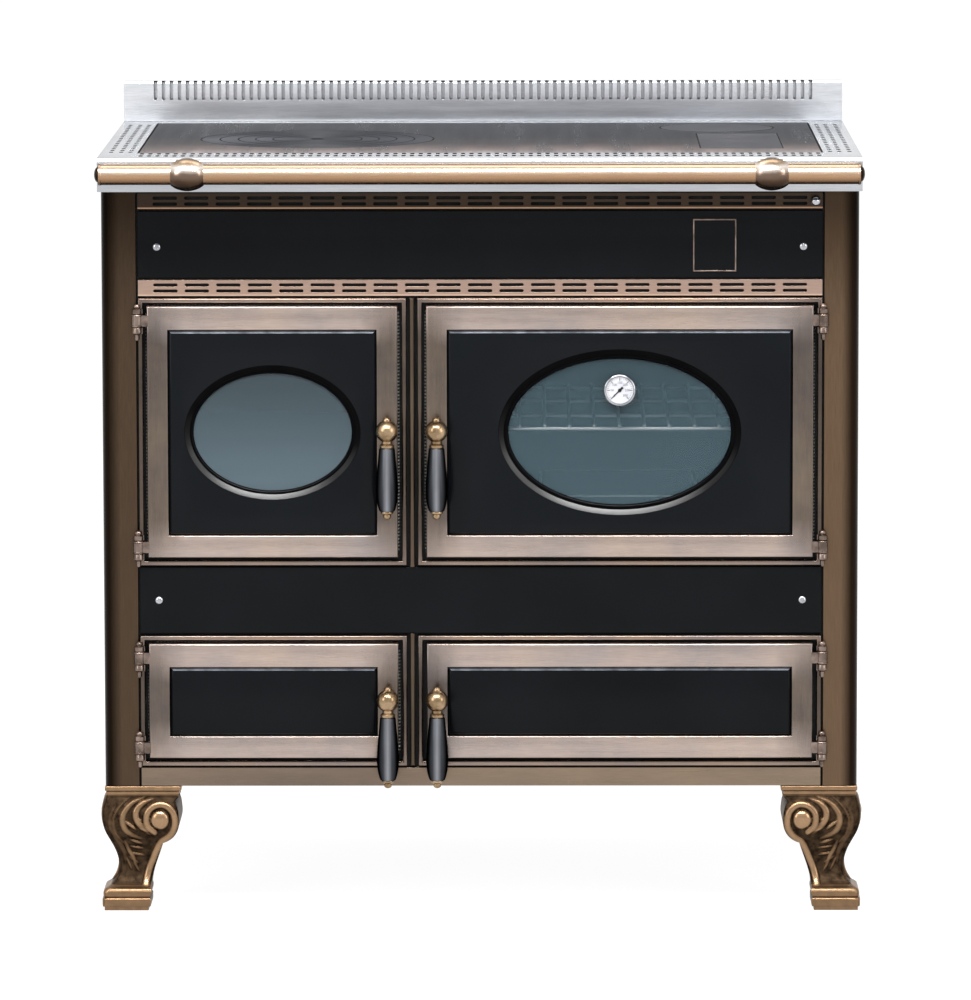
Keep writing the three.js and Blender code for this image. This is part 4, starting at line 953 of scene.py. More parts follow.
def screw(x, z, y):
    """A dome-headed screw with a cross slot."""
    dome = [(4.8 * MM * math.cos(a), -2.6 * MM * math.sin(a)) for a in quarter(8)]
    bm = new_mesh(add_lathe, mm((0, 1), (4.8, 1)) + dome, (x, y, z), axis="Y", sides=32)
    a, b = 2.4 * MM, 0.5 * MM
    arm = ((a, -b), (a, b), (b, b))
    cross = [(u * c - v * s, u * s + v * c) for c, s in ((1, 0), (0, 1), (-1, 0), (0, -1)) for u, v in arm]
    slot = new_mesh(add_prism, [(x + u, z + v) for u, v in cross], upright_point, y - 4 * MM, y - 1.2 * MM)
    return combine(bm, slot)


SCREW_X = 382 * MM


def fascia_screws():
    for node in ("upper_fascia", "middle_fascia"):
        area = front_rect(node)
        for side, label in ((-1, "left"), (1, "right")):
            z = area.centre[1] - 3 * MM if node == "upper_fascia" else area.centre[1]
            bm = screw(side * SCREW_X, z, CASING_FRONT)
            make(f"{node}_screw_{label}", bm, chrome, "stove", smooth=40)


BADGE = Rect(251.5 * MM, 302.7 * MM, 765.3 * MM, 827.8 * MM)


def badge():
    """A small framed plate."""
    profile = rounded_bar(CASING_FRONT - 2 * MM, CASING_FRONT + 0.2 * MM, 0.6 * MM)
    bm = new_mesh(mitred, BADGE.grow(-1.7 * MM), BADGE, profile)
    make("badge_frame", bm, hinge_bronze, "stove")
    plate = BADGE.grow(-2 * MM)
    low, high = (plate.x0, CASING_FRONT - 1.2 * MM, plate.z0), (plate.x1, CASING_FRONT + 0.2 * MM, plate.z1)
    make("badge_plate", new_mesh(add_box, low, high), black_enamel, "stove")


# ---------------------------------------------------------------- doors

FLANGE = 4.7 * MM
STILE = 24.9 * MM
RAIL = 26.7 * MM
BEAD = 5.5 * MM
DOOR_GAP = 4.7 * MM
DOOR_FACE = CASING_FRONT - 12 * MM
DOOR_BACK = DOOR_FACE + 15.5 * MM
PANEL_FACE = DOOR_FACE + 3 * MM
REBATE_FACE = DOOR_BACK - 4.7 * MM
PANEL_BACK = DOOR_BACK - SEAT
POCKET_MARGIN = 14.3 * MM  # from the oval of a window to the edge of the pocket behind it
POCKET_FLOOR = DOOR_BACK - 4.6 * MM
WINDOWS = {"firebox": (95 * MM, 71 * MM, 8.5 * MM), "oven": (133 * MM, 88 * MM, 10 * MM)}
SIDES = {"firebox": -1, "oven": 1, "ash": -1, "storage": 1}


class Door:
    """Places of one door, worked out from its panel."""

    def __init__(self, name):
        self.name = name
        self.side = SIDES[name]
        self.opening = front_rect(f"{name}_door_panel").grow(-FLANGE)
        self.leaf = self.opening.grow(STILE, RAIL)
        self.bay = self.leaf.grow(BEAD + DOOR_GAP)
        edge = self.bay.x0 if self.side < 0 else self.bay.x1
        self.pin = (edge + self.side * 1.1 * MM, CASING_FRONT - 8 * MM)
        self.hinges = (self.leaf.z1 - 15.8 * MM, self.leaf.z0 + 12.4 * MM)
        free = self.leaf.x1 if self.side < 0 else self.leaf.x0
        self.handle = (free + self.side * STILE / 2, DOOR_FACE - 19 * MM, self.leaf.centre[1] + 4 * MM)


doors = [Door(name) for name in SIDES]

DOORWAY_FACE = CASING_FRONT + 9.7 * MM
BARREL_HALF = 7.7 * MM
KNUCKLE_END = BARREL_HALF + SEAT
BARREL_RADIUS = 7 * MM


def door_frame(door):
    """Bars of a door with a rounded front, and the barrels of its two hinges."""
    profile = [p for p in rounded_bar(DOOR_FACE, REBATE_FACE, 1.6 * MM) if p[0] == "in"]
    profile += [("out", 12 * MM, DOOR_FACE), ("out", 8 * MM, DOOR_FACE + 0.1 * MM)]
    profile += [p for p in rounded_bar(DOOR_FACE + 0.55 * MM, DOOR_BACK, 2.6 * MM, 6) if p[0] == "out"]
    profile += [("in", 5 * MM, DOOR_BACK), ("in", 5 * MM, REBATE_FACE)]
    leaf = door.leaf.grow(0)
    leaf.z1 += 1.6 * MM
    bm = new_mesh(mitred, door.opening, leaf, profile)
    node = f"{door.name}_door_frame"
    make(f"{door.name}_door_bars", bm, door_bronze, f"{door.name}_door", [node])
    for place, z in zip(("upper", "lower"), door.hinges):
        hinge_barrel(door, place, z)


def hinge_barrel(door, place, z):
    """Turning half of a hinge, joined to the door's edge by a lug."""
    x, y = door.pin
    r, h = BARREL_RADIUS, BARREL_HALF
    end = [(3.2 * MM, h), (r - 1.2 * MM, h), (r - 0.2 * MM, h - 0.8 * MM), (r, h - 1.8 * MM)]
    end.append((r - 0.7 * MM, h - 2.6 * MM))
    bm = new_mesh(add_lathe, mirrored(end), (x, y, z), sides=40, closed=True)
    edge = door.leaf.x0 if door.side < 0 else door.leaf.x1
    near, far = sorted((x - door.side * 4.5 * MM, edge - door.side * 1.5 * MM))
    low, high = (near, y - 3.5 * MM, z - h + 1.2 * MM), (far, y + 3.5 * MM, z + h - 1.2 * MM)
    bm = combine(bm, new_mesh(add_box, low, high), "UNION")
    name, body = f"{door.name}_hinge_barrel_{place}", f"{door.name}_door"
    make(name, bm, hinge_bronze, body, smooth=40)


def surround(door):
    """Bead round the bay, notched where the door's barrels turn."""
    profile = rounded_bar(CASING_FRONT - 5 * MM, DOORWAY_FACE, 1.8 * MM, 4)
    bm = new_mesh(mitred, door.bay.grow(-BEAD), door.bay, profile)
    inner = door.bay.x0 + BEAD if door.side < 0 else door.bay.x1 - BEAD
    low_x, high_x = sorted((door.pin[0], inner))
    notches = bmesh.new()
    for z in door.hinges:
        low = (low_x - 2 * MM, CASING_FRONT - 9 * MM, z - KNUCKLE_END)
        add_box(notches, low, (high_x + 2 * MM, CASING_FRONT - SEAT, z + KNUCKLE_END))
    bm = combine(bm, notches)
    make(f"{door.name}_bead", bm, bead_bronze, "stove", [f"{door.name}_surround"])
    for place, z in zip(("upper", "lower"), door.hinges):
        hinge_knuckle(door, place, z, low_x, high_x)


def hinge_knuckle(door, place, z, low_x, high_x):
    """Fixed half of a hinge: the pin with its knob, two knuckles and the tail."""
    half = KNUCKLE_END
    top, bottom = half + 6.5 * MM, -half - 8 * MM
    profile = mm((0, -7.7), (1.6, -7.4), (2.4, -6), (2.4, -1), (4.35, 0), (5.75, 1.2), at=bottom)
    profile += mm((5.75, -0.6), (5.25, 0), (3, 0), at=-half) + mm((3, 0), (5.25, 0), (5.75, 0.6), at=half)
    profile += mm((5.75, -1.2), (4.2, 0), (3.4, 0.5), (4.3, 2), (4.2, 3.4), (2.8, 4.9), (0, 5.5), at=top)
    bm = new_mesh(add_lathe, profile, (*door.pin, z), sides=40)
    leaves = bmesh.new()
    for z0, z1 in ((half, top), (bottom, -half)):
        low = (low_x, door.pin[1], z + z0 + 0.4 * MM)
        add_box(leaves, low, (high_x, CASING_FRONT - SEAT, z + z1 - 0.4 * MM))
    bm = combine(bm, leaves, "UNION")
    make(f"{door.name}_hinge_pin_{place}", bm, hinge_bronze, "stove", smooth=40)


def oval_points(centre, rx, rz, y, count=2 * FINE):
    turn = [2 * math.pi * i / count for i in range(count)]
    return [(centre[0] + rx * math.cos(a), y, centre[1] + rz * math.sin(a)) for a in turn]


def fill_between(bm, outer, inner):
    """Flat face between an outer loop and an inner loop."""
    edges = []
    for loop in (outer, inner):
        for a, b in zip(loop, loop[1:] + loop[:1]):
            edges.append(bm.edges.get((a, b)) or bm.edges.new((a, b)))
    bmesh.ops.triangle_fill(bm, use_beauty=True, use_dissolve=False, edges=edges)


def door_panel(door):
    """Enamelled panel with a bevelled edge, and a bevelled oval window where the door has one."""
    field = door.opening.grow(-SEAT)
    flange = door.opening.grow(5 * MM - SEAT)
    bevel, depth = 4 * MM, 2 * MM
    steps = [
        (flange, PANEL_BACK),
        (flange, REBATE_FACE + SEAT),
        (field, REBATE_FACE + SEAT),
        (field, PANEL_FACE + depth + 0.4 * MM),
        (field.grow(-0.25 * MM), PANEL_FACE + depth),
        (field.grow(-bevel + 0.6 * MM), PANEL_FACE + 0.25 * MM),
        (field.grow(-bevel), PANEL_FACE),
    ]
    bm = bmesh.new()
    layer = bm.verts.layers.float.new("glint")
    loops = [add_loop(bm, [(x, y, z) for x, z in rect.corners()]) for rect, y in steps]
    for k, (a, b) in enumerate(zip(loops, loops[1:])):
        top = bridge(bm, a, b)[2]
        # The top faces of the front bevel take the pale edge metal: a painted highlight.
        top.material_index = 2 if k >= 4 else 0
    if door.name in WINDOWS:
        rx, rz, flare = WINDOWS[door.name]
        centre = door.opening.centre
        lip = flare - 5.4 * MM
        rings = [(flare + 0.9 * MM, 0), (flare + 0.1 * MM, 0.3 * MM), (lip, 3.2 * MM)]
        rings += [(lip - 0.4 * MM, 4.6 * MM)] + mm((0.9, 4.9), (0.5, 4.9), (-0.2, 5.4), (-0.5, 5.8))
        rings.append((-1.3 * MM, POCKET_FLOOR - PANEL_FACE))
        # Each ring's share of the painted highlight, which grows toward the bottom and a little to the left
        # of the window.
        glint_share = (0.6, 1, 1, 0, 0, 0.85, 0.85, 0, 0)
        ovals = [add_loop(bm, oval_points(centre, rx + g, rz + g, PANEL_FACE + d)) for g, d in rings]
        for loop, share in zip(ovals, glint_share):
            for vertex in loop:
                down = 0.96 * (centre[1] - vertex.co.z) / (rz + flare)
                aside = 0.28 * (centre[0] - vertex.co.x) / (rx + flare)
                vertex[layer] = share * (0.5 + 0.5 * (down + aside))
        for a, b in zip(ovals, ovals[1:]):
            for face in bridge(bm, a, b):
                face.material_index = 1
        fill_between(bm, loops[-1], ovals[0])
        pocket = Rect(centre[0], centre[0], centre[1], centre[1]).grow(rx + POCKET_MARGIN, rz + POCKET_MARGIN)
        inner = add_loop(bm, [(x, POCKET_FLOOR, z) for x, z in pocket.corners()])
        rim = add_loop(bm, [(x, PANEL_BACK, z) for x, z in pocket.corners()])
        fill_between(bm, inner, ovals[-1])
        bridge(bm, inner, rim)
        fill_between(bm, loops[0], rim)
        paint = panel_enamel
    else:
        bm.faces.new(loops[-1])
        bm.faces.new(loops[0])
        paint = black_enamel
    shades = (paint, bevel_enamel, edge_glint)
    node = f"{door.name}_door_panel"
    make(f"{door.name}_enamel_panel", bm, shades, f"{door.name}_door", [node])


def rope_loop(door, name, replaces=()):
    """Braided rope round the back of a door. Its strands cross in a slanting weave."""
    y = (DOOR_BACK + DOORWAY_FACE + SEAT) / 2
    radius = (DOORWAY_FACE - DOOR_BACK - SEAT) / 2
    path = [Vector(p) for p in door.leaf.grow(-1 * MM).rounded(3 * radius, 5)]
    dense = []
    for a, b in zip(path, path[1:] + path[:1]):
        count = max(1, round((b - a).length / (1.1 * MM)))
        dense += [a.lerp(b, i / count) for i in range(count)]
    bm = bmesh.new()
    layer = bm.verts.layers.float.new("weave")
    sides, rings, travel = 10, [], 0.0
    for i, point in enumerate(dense):
        ahead = dense[(i + 1) % len(dense)] - dense[i - 1]
        normal = Vector((ahead.y, -ahead.x)).normalized()
        travel += (point - dense[i - 1]).length if i else 0
        ring = []
        for k in range(sides):
            angle = 2 * math.pi * k / sides
            weave = math.cos(2 * angle + travel / (1.3 * MM)) * math.cos(2 * angle - travel / (1.3 * MM))
            r = radius * (0.93 + 0.06 * weave)
            spot = point + normal * (r * math.cos(angle))
            made = bm.verts.new((spot.x, y + r * math.sin(angle), spot.y))
            made[layer] = 0.5 + 0.5 * weave
            ring.append(made)
        rings.append(ring)
    for a, b in zip(rings, rings[1:] + rings[:1]):
        bridge(bm, a, b)
    make(name, bm, rope, f"{door.name}_door", replaces, smooth=60)


# ---------------------------------------------------------------- handles

BALL = 13.25 * MM
GRIP_TOP = 20 * MM
GRIP_BOTTOM = 95 * MM
HANDLE_LENGTH = 105 * MM


def handle(door):
    """Brass rod with its ball, collar and finial, and the spindle and cam that turn with it."""
    x, y, z = door.handle
    profile = mm((0, 0), (2.2, 0.4), (4.2, 1.8), (4.9, 4), (4.6, 5.6), at=-HANDLE_LENGTH)
    profile += mm((5.6, -3.4), (7.2, -2.6), (7.5, -1.4), (7.2, -0.3), (3.5, -0.3), at=-GRIP_BOTTOM)
    profile += mm((3.5, 0.3), (8, 0.3), (8.6, 1.2), (8.6, 3.4), (7.6, 4.4), (6.2, 5.6), at=-GRIP_TOP)
    profile += [(BALL * math.cos(a), BALL * math.sin(a)) for a in np.radians(np.linspace(-62, 68, 18))]
    profile += mm((4.6, 13.4), (4.6, 14.6), (3.8, 15.6), (2.2, 16.1), (0, 16.2))
    bm = new_mesh(add_lathe, profile, (x, y, z), sides=48)
    cam_back = CASING_FRONT + 12.7 * MM - y
    spindle = mm((0, 4), (7, 4)) + mm((6.2, -5), (8.4, -3), (8.4, 0), (5, 0), at=DOOR_FACE - SEAT - y)
    spindle += mm((5, 0), (0, 0), at=cam_back)
    bm = combine(bm, new_mesh(add_lathe, spindle, (x, y, z), axis="Y", sides=40), "UNION")
    low_x, high_x = sorted((x, x - door.side * 9.5 * MM))
    low, high = (low_x, y + cam_back - 2.7 * MM, z - 4 * MM), (high_x, y + cam_back, z + 4 * MM)
    bm = combine(bm, new_mesh(add_box, low, high), "UNION")
    body = f"{door.name}_handle"
    make(f"{door.name}_brass_handle", bm, aged_brass, body, [body], smooth=40)
    grip(door)


def grip(door):
    """Barrel-shaped grip on the rod of a handle."""
    outline = mm((9.3, -20.6), (10.2, -30), (12.2, -52), (13.2, -70), (12.4, -82))
    outline += mm((10.6, -90.5), (9.2, -94.5))
    ends = mm((3.8, 0), (8.6, 0), at=-GRIP_TOP), mm((8.6, 0), (3.8, 0), at=-GRIP_BOTTOM)
    profile = ends[0] + smooth_path(outline, 5) + ends[1]
    bm = new_mesh(add_lathe, profile, door.handle, sides=48, closed=True)
    body, node = f"{door.name}_handle", f"{door.name}_grip"
    make(f"{door.name}_satin_grip", bm, charcoal, body, [node], smooth=40)


# ---------------------------------------------------------------- oven fittings

OVEN_FLOOR = 0.4328  # upper face of the floor of the oven
DIAL_START = 225  # direction of the first mark, in degrees counted from +X toward +Z
DIAL_SWEEP = 270


def oven_rack():
    """Wires across the front and back bars, with a frame below them."""
    low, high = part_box("oven_rack")
    rod, bar = 2.2 * MM, 2.5 * MM
    centre = middle("oven_door_panel")[0]
    top = high.z - rod
    under = low.z + bar
    bm = bmesh.new()

    def wire(radius, a, b, axis, at):
        dome = [(0, 0), (0.45, 0.1), (0.8, 0.4), (1, 1)]
        profile = [(radius * r, a + radius * t) for r, t in dome]
        profile += [(radius * r, b - radius * t) for r, t in dome[::-1]]
        add_lathe(bm, profile, at, axis=axis, sides=16)

    for x in spread(13, 29.7 * MM):
        wire(rod, low.y + 0.5 * MM, high.y - 0.5 * MM, "Y", (centre + x, 0, top))
    depth = high.y - low.y - 8 * MM
    for share in (0, 0.31, 0.67, 1):
        wire(bar, low.x + bar, high.x - bar, "X", (0, low.y + 4 * MM + share * depth, under))
    for x in (low.x + bar, high.x - bar):
        wire(bar, low.y + MM, high.y - MM, "Y", (x, 0, under))
    make("oven_rack_wires", bm, bright_wire, "stove", ["oven_rack"], smooth=40)


def baking_tray():
    """Deep tray that stands on the oven floor below the rack."""
    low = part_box("oven_rack")[0]
    centre = middle("oven_door_panel")[0]
    plan = Rect(centre - 95 * MM, centre + 95 * MM, low.y + 5 * MM, low.y + 255 * MM)
    foot, rim, wall = OVEN_FLOOR + SEAT, OVEN_FLOOR + 62 * MM, 1.2 * MM
    steps = [(-9, foot), (-8, foot), (-2.5, rim - 1.6 * MM), (0, rim - 1.4 * MM), (0, rim), (-3.2, rim)]
    steps.append((-9.2, foot + wall))
    bm = bmesh.new()
    loops = [add_loop(bm, [(x, y, z) for x, y in plan.grow(g * MM).corners()]) for g, z in steps]
    for k, (a, b) in enumerate(zip(loops, loops[1:])):
        for face in bridge(bm, a, b):
            face.material_index = int(k in (2, 3, 4))
    bm.faces.new(loops[0])
    bm.faces.new(loops[-1])
    make("oven_tray", bm, (casing_paint, bright_wire), "stove")


def thermometer():
    """Case with a chrome rim, a white dial and a needle of its own."""
    low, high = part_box("thermometer_case")
    x, _, z = middle("thermometer_case")
    profile = mm((0, 1.6), (16.2, 1.6), (16.2, 0.5), (16.7, 0), (17.6, 0), (18.6, 0.6), (19, 1.6), at=low.y)
    profile += mm((19, 8), (4, 8), at=low.y) + mm((4, 0), (0, 0), at=high.y)
    bm = new_mesh(add_lathe, profile, (x, 0, z), axis="Y")
    make("thermometer_bezel", bm, chrome, "oven_door", ["thermometer_case"], smooth=40)
    floor = low.y + 1.6 * MM
    profile = mm((0, -0.12), (16, -0.12), (16, 0.1), (0, 0.1), at=floor)
    bm = new_mesh(add_lathe, profile, (x, 0, z), axis="Y")
    make("thermometer_dial", bm, dial_white, "oven_door")
    dial_print(x, z, floor - 0.16 * MM)
    needle(x, z, floor - 0.9 * MM)


def add_hand(bm, x, y, z, degrees, half, thickness):
    """A flat shape along a direction, from its half: points of (distance out, half width) in millimetres."""
    angle = math.radians(degrees)
    out = Vector((math.cos(angle), math.sin(angle)))
    across = Vector((-out.y, out.x))
    points = [out * a * MM + across * w * MM for a, w in half + [(a, -w) for a, w in half[::-1]]]
    add_prism(bm, [(x + p.x, z + p.y) for p in points], upright_point, y, y + thickness)


def dial_print(x, z, y):
    """Graduations and numbers of the dial."""
    bm = bmesh.new()
    steps = 30
    for i in range(steps + 1):
        start, width = (11.4, 0.42) if i % 5 == 0 else (13.2, 0.2)
        mark = [(start, width), (15.2, width)]
        add_hand(bm, x, y, z, DIAL_START - DIAL_SWEEP * i / steps, mark, 0.1 * MM)
    make("thermometer_scale", bm, print_black, "oven_door", smooth=10)
    for i in range(7):
        angle = math.radians(DIAL_START - DIAL_SWEEP * i / 6)
        number(str(50 * i), x + 9 * MM * math.cos(angle), y, z + 9 * MM * math.sin(angle))


def number(text, x, y, z):
    """A number of the dial, as a text object."""
    letters = bpy.data.curves.new(f"number_{text}", "FONT")
    letters.body = text
    letters.size = 4 * MM
    letters.align_x = "CENTER"
    letters.align_y = "CENTER"
    letters.extrude = 0.05 * MM
    letters.materials.append(print_black)
    piece = bpy.data.objects.new(f"dial_number_{text}", letters)
    piece.location = (x, y, z)
    piece.rotation_euler = (math.pi / 2, 0, 0)
    scene.collection.objects.link(piece)
    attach(piece, "oven_door")


def needle(x, z, y):
    """Tapered needle on a round hub, at the low end of the scale."""
    bm = new_mesh(add_hand, x, y, z, DIAL_START, [(13, 0.25), (0, 0.8), (-5, 1.5)], 0.6 * MM)
    profile = mm((0, -0.3), (2.2, -0.3), (2.2, 0.6), (0, 0.6))
    bm = combine(bm, new_mesh(add_lathe, profile, (x, y, z), axis="Y", sides=32), "UNION")
    make("thermometer_pointer", bm, print_black, "thermometer_needle", ["thermometer_needle"])


# ---------------------------------------------------------------- legs


def bezier(p0, p1, p2, p3, steps=24):
    """Points of a cubic curve."""
    t = np.linspace(0, 1, steps)[:, None]
    p0, p1, p2, p3 = (np.array(p, float) for p in (p0, p1, p2, p3))
    return (1 - t) ** 3 * p0 + 3 * (1 - t) ** 2 * t * p1 + 3 * (1 - t) * t**2 * p2 + t**3 * p3


# Outline of a leg in millimetres: distance in from the side of the casing, height above the floor
OUTER = np.vstack([
    [(-1.5, 0), (-1.5, 4.4), (-3.6, 4.8), (-4.4, 6), (-4.4, 13.6), (-3.6, 15), (-2.2, 15.8)],
    bezier((-2.4, 16.2), (-4.2, 18), (-3.8, 25), (0.3, 26.7), 9),
    bezier((0.3, 26.8), (9, 30), (14.3, 41), (14.6, 51)),
    bezier((14.6, 51.1), (15, 66), (7, 79), (1.5, 89.5)),
    bezier((1.5, 89.6), (-6.4, 103), (-6.4, 125), (1, 139)),
])
INNER = np.vstack([
    [(51, 0), (51, 4.4), (52.8, 4.8), (53.8, 6), (53.8, 13.6), (53, 15), (52, 15.8)],
    bezier((52, 16.2), (54.5, 18), (55, 24), (53.6, 26.7), 9),
    bezier((53.6, 26.8), (55, 45), (63, 62), (68.5, 80)),
    bezier((68.5, 80.1), (84, 85), (90, 100), (88, 113)),
    bezier((88, 113.1), (87.4, 122), (85.6, 128), (82.5, 131), 12),
    [(89, 139)],
])

LEG_TOP = 139  # millimetres, as everything in this section up to the carving
BOSS = (65.4, 109.5)
BOSS_RADIUS = 11.5
BOSS_RISE = 5.6
EDGE_ROUND = 9.0  # width of the rounded corner of a leg
GROUND = -1.6  # how far the ground between the strokes lies behind the plain surface

# Strokes of the carved leaf: points in the same millimetres, half width, height
STROKES = (
    (((31, 138), (19.5, 128), (12.5, 118), (9.7, 107.5), (12, 94), (19.5, 82.5), (28.5, 74)), 1.7, 1.8),
    (((49, 137), (33, 130.5), (23.5, 120), (20.5, 109), (24, 97.5), (33, 89.5), (45, 85)), 4.2, 3.0),
    (((58, 135), (46, 130.5), (38.5, 123.5), (36.5, 115.5), (39.5, 106.5), (46, 98.5), (54, 90)), 4.6, 3.4),
    (((13, 128), (7, 115), (6.5, 102), (12, 89), (19, 76), (22.5, 64), (23, 52)), 3.2, 1.4),
    (((22, 85), (27.5, 71), (33, 60), (37, 46)), 3.0, 2.6),
    (((22, 109), (31, 103), (37, 97)), 2.6, 3.2),
    (((35, 113), (44, 108.5)), 2.4, 3.4),
    (((39, 102), (52, 94)), 2.6, 3.2),
    (((28, 85), (44, 79)), 2.6, 2.8),
    (((28, 76), (46, 73)), 2.2, 2.6),
    (((26, 68), (46, 64)), 2.2, 2.4),
    (((27, 63), (39, 54)), 2.0, 2.2),
    (((24, 62), (31, 46)), 1.8, 2.0),
    (((31, 59), (40, 44)), 1.8, 2.0),
)
RIM = ((47, 27), (48.5, 37), (51.5, 48.5), (56, 60), (60.5, 71), (66, 81), (75, 88), (81.5, 97.5),
       (83, 109), (80, 120), (71, 127.5), (60, 127), (51.5, 120), (49, 110), (51.5, 100.5), (58, 94))


def stroke_height(u, z, points, width, height, taper=True):
    """Height of a rounded stroke over the plane, at the places u, z."""
    path = np.array(smooth_path(points, 5))
    best = np.full(u.shape, 1e9)
    along = np.zeros(u.shape)
    for i, (a, b) in enumerate(zip(path, path[1:])):
        d = b - a
        t = np.clip(((u - a[0]) * d[0] + (z - a[1]) * d[1]) / (d @ d), 0, 1)
        gap = np.hypot(u - a[0] - t * d[0], z - a[1] - t * d[1])
        closer = gap < best
        best = np.where(closer, gap, best)
        along = np.where(closer, (i + t) / (len(path) - 1), along)
    reach = width * (np.sqrt(np.clip(1 - (2 * along - 1) ** 2, 0.02, 1)) if taper else 1.0)
    return height * np.sqrt(np.clip(1 - (best / reach) ** 2, 0, 1)) * (reach / width)


def carving(u, z):
    """Relief of a leg's face, in millimetres out from its plain surface."""
    edge_fade = np.clip((z - 27) / 6, 0, 1) * np.clip((LEG_TOP + 0.5 - z) / 3, 0, 1)
    relief = np.where((z > 30) & (z < LEG_TOP), GROUND, 0.0) * edge_fade
    for points, width, height in STROKES:
        relief = np.maximum(relief, GROUND * edge_fade + stroke_height(u, z, points, width, height))
    rim = stroke_height(u, z, RIM, 4.6, 3.4, taper=False)
    relief = np.maximum(relief, GROUND * edge_fade + rim * edge_fade)
    gap = np.hypot((u - BOSS[0]) / BOSS_RADIUS, (z - BOSS[1]) / (BOSS_RADIUS * 1.06))
    dome = GROUND + BOSS_RISE * np.sqrt(np.clip(1 - gap**2, 0, 1))
    return np.where(gap < 1, np.maximum(relief, dome), relief)


def leg(node, side, facing):
    """Carved cabriole leg: square cross-sections from foot to plate, in relief on two faces."""
    levels = np.unique(np.concatenate([np.linspace(0, LEG_TOP, 120), OUTER[:, 1], INNER[:, 1]]))
    across, plain = 74, 10
    share = np.linspace(0, 1, across + 1)
    u_out = np.interp(levels, OUTER[:, 1], OUTER[:, 0])
    u_in = np.interp(levels, INNER[:, 1], INNER[:, 0])
    grid_z = np.repeat(levels[:, None], across + 1, 1)
    grid_u = u_out[:, None] + (u_in - u_out)[:, None] * share
    height = carving(grid_u, grid_z)
    corner = np.clip(1 - (grid_u - u_out[:, None]) / EDGE_ROUND, 0, 1)
    rounding = EDGE_ROUND * (1 - np.sqrt(np.clip(1 - corner**2, 0, 1))) * 0.45
    blend = np.clip((levels[:, None] - 4.5) / 2, 0, 1)
    lift = (height * np.clip((grid_u - u_out[:, None]) / 5, 0, 1) - rounding) * blend
    lift *= np.clip((u_in[:, None] - grid_u) / 1.5, 0, 1)
    front_y = CASING_FRONT if facing > 0 else CASING_BACK
    bm = bmesh.new()
    layer = bm.verts.layers.float.new("relief")

    def vertex(u, v, z, shade):
        made = bm.verts.new((side * (CASING_HALF - u * MM), front_y + facing * v * MM, z * MM))
        made[layer] = shade
        return made

    shade = np.clip((height - GROUND) / 4.2, 0, 1)
    shade = np.where((grid_z < 30) | (grid_z > 138), 0.62, shade)
    loops = []
    for k, z in enumerate(levels):
        o, n = u_out[k], u_in[k]
        pull = o - max(lift[k, 0], -4.0)
        front = [vertex(grid_u[k, i], o - lift[k, i], z, shade[k, i]) for i in range(across, 0, -1)]
        edge = [vertex(pull, pull, z, shade[k, 0])]
        flank = [vertex(o - lift[k, i], grid_u[k, i], z, shade[k, i]) for i in range(1, across + 1)]
        back = [vertex(o + (n - o) * j / plain, n, z, 0.3) for j in range(1, plain + 1)]
        inner = [vertex(n, n - (n - o) * j / plain, z, 0.3) for j in range(1, plain)]
        loops.append(front + edge + flank + back + inner)
    for a, b in zip(loops, loops[1:]):
        bridge(bm, a, b)
    bm.faces.new(loops[0])
    bm.faces.new(list(reversed(loops[-1])))
    make(f"carved_{node}", bm, bronze_cast, "stove", [node], smooth=50)
    leg_plate(node, side, facing, front_y)


def leg_plate(node, side, facing, front_y):
    """Stepped plate on top of a leg."""
    bm = bmesh.new()
    layer = bm.verts.layers.float.new("relief")
    for low_u, high_u, z0, z1 in ((0.9, 88.4, 138.8, 143.9), (-0.4, 91, 143.9, 150)):
        x0, x1 = sorted(side * (CASING_HALF - u * MM) for u in (low_u, high_u))
        y0, y1 = sorted(front_y + facing * u * MM for u in (low_u, high_u))
        add_box(bm, (x0, y0, z0 * MM), (x1, y1, z1 * MM))
    for v in bm.verts:
        v[layer] = 0.7
    make(f"{node}_plate", bm, bronze_cast, "stove", bevel=1.6 * MM, bevel_steps=4)


# ---------------------------------------------------------------- stage


FLOOR_GLOW = 1.22  # with the share below, the open floor comes to plain white
GLOWING_SHARE = 0.78


def lamp(name, location, target, size, power, tint=(1, 1, 1)):
    light = bpy.data.lights.new(name, "AREA")
    light.shape = "RECTANGLE"
    light.size, light.size_y = size
    light.energy = power
    light.color = tint
    holder = bpy.data.objects.new(name, light)
    holder.location = location
    holder.rotation_euler = (Vector(target) - Vector(location)).to_track_quat("-Z", "Y").to_euler()
    scene.collection.objects.link(holder)


def seen_directly(tree):
    """1 for rays from the camera and for reflected and refracted ones."""
    path = tree.nodes.new("ShaderNodeLightPath")
    seen = path.outputs["Is Camera Ray"]
    for other in ("Is Glossy Ray", "Is Transmission Ray"):
        total = tree.nodes.new("ShaderNodeMath")
        total.operation = "MAXIMUM"
        tree.links.new(seen, total.inputs[0])
        tree.links.new(path.outputs[other], total.inputs[1])
        seen = total.outputs[0]
    return seen


def world():
    """White to the camera and in reflections, and softer as a light."""
    made = bpy.data.worlds.new("studio")
    scene.world = made
    made.use_nodes = True
    tree = made.node_tree
    background = tree.nodes["Background"]
    strength = tree.nodes.new("ShaderNodeMapRange")
    strength.inputs["To Min"].default_value = 0.45
    strength.inputs["To Max"].default_value = 1.0
    tree.links.new(seen_directly(tree), strength.inputs["Value"])
    tree.links.new(strength.outputs[0], background.inputs["Strength"])
    background.inputs["Color"].default_value = (1, 1, 1, 1)


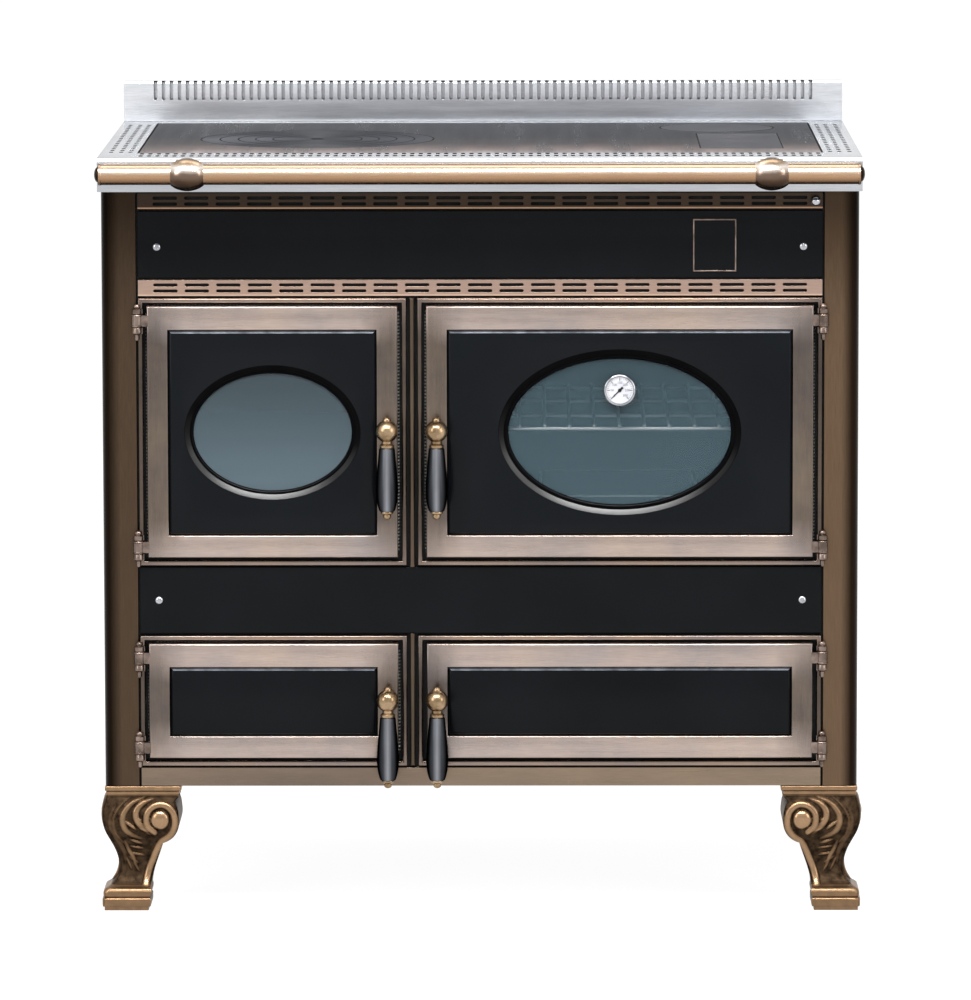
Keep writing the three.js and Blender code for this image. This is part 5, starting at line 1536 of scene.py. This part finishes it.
def floor():
    """Pale floor that the camera sees as nearly plain white."""
    corners = Rect(0, 0, 0, 0).grow(60).corners()
    bm = bmesh.new()
    bm.faces.new(add_loop(bm, [(x, y, 0) for x, y in corners]))
    mesh = bpy.data.meshes.new("floor")
    bm.to_mesh(mesh)
    bm.free()
    paint = Paint("pale_floor", 0.9, Base_Color=(0.9, 0.9, 0.9, 1), Specular_IOR_Level=0)
    glow = paint.node("Emission", Strength=FLOOR_GLOW)
    mix = paint.node("MixShader", Fac=paint.math("MULTIPLY", seen_directly(paint.tree), GLOWING_SHARE))
    paint.connect(paint.shader.outputs[0], mix.inputs[1])
    paint.connect(glow.outputs[0], mix.inputs[2])
    paint.connect(mix.outputs[0], paint.tree.nodes["Material Output"].inputs["Surface"])
    mesh.materials.append(paint.material)
    plane = bpy.data.objects.new("floor", mesh)
    scene.collection.objects.link(plane)


CAMERA_HEIGHT = 1.5852
CAMERA_DISTANCE = 8.69  # in front of the worktop's front edge
CAMERA_X = 0.0633
CAMERA_TILT = 7.132
CAMERA_YAW = 0.364
CAMERA_ROLL = 0.098
CAMERA_LENS = 266.9


def camera():
    data = bpy.data.cameras.new("camera")
    data.lens = CAMERA_LENS
    data.clip_end = 200
    holder = bpy.data.objects.new("camera", data)
    holder.location = (CAMERA_X, WORKTOP_LOW.y - CAMERA_DISTANCE, CAMERA_HEIGHT)
    holder.rotation_euler = [math.radians(a) for a in (90 - CAMERA_TILT, CAMERA_ROLL, CAMERA_YAW)]
    scene.collection.objects.link(holder)
    scene.camera = holder


# ---------------------------------------------------------------- assembly

worktop()
backsplash()
hob_plate()
hob_rings()
flue_cap()
dress("cleaning_cover", cap_metal, bevel=CHAMFER, edge=joint_soot)
towel_rail()
for node in ("rail_support_left", "rail_support_right"):
    rail_support(node)

grille("upper_grille", grille_shade)
grille("lower_grille", grille_bronze)
pillar("pillar_left", -1)
pillar("pillar_right", 1)
bypass_rod()
fascia_screws()
badge()
for node in ("upper_fascia", "middle_fascia"):
    dress(node, black_enamel, bevel=0.8 * MM)
for node in ("side_panel_left", "side_panel_right", "back_panel"):
    dress(node, casing_paint)
dress("bottom_rail", rail_bronze, bevel=0.8 * MM)
dress("centre_mullion", mullion_bronze, bevel=0.4 * MM)
dress("carcass", carcass_paint, bevel=0)
dress("ash_pan", carcass_paint, bevel=0.3 * MM)
dress("firebox_grate", cast_iron, bevel=1 * MM)
dress("firebrick_lining", clay, bevel=1 * MM)
dress("firebox_door_glass", fire_glass, bevel=0)
dress("oven_door_glass", oven_glass, bevel=0)

for each in doors:
    surround(each)
    door_frame(each)
    door_panel(each)
    handle(each)
rope_loop(doors[0], "firebox_rope", ["firebox_door_seal"])
rope_loop(doors[1], "oven_rope", ["oven_door_seal"])
rope_loop(doors[2], "ash_rope")

oven_rack()
baking_tray()
thermometer()

for facing, row in ((1, "front"), (-1, "rear")):
    for side, hand in ((-1, "left"), (1, "right")):
        leg(f"leg_{row}_{hand}", side, facing)

floor()
world()
lamp("overhead", (-0.2, -2.3, 3.3), (0, -0.2, 0.55), (3.6, 0.6), 190)
lamp("left", (-3.2, -3.0, 2.0), (0, 0, 0.5), (1.2, 2.2), 45)
lamp("right", (3.4, -2.8, 1.8), (0, 0, 0.5), (1.2, 2.2), 40)
lamp("top", (0, 0.6, 3.4), (0, 0, 0.9), (2.4, 1.2), 35)
camera()
scene.view_settings.view_transform = "Standard"
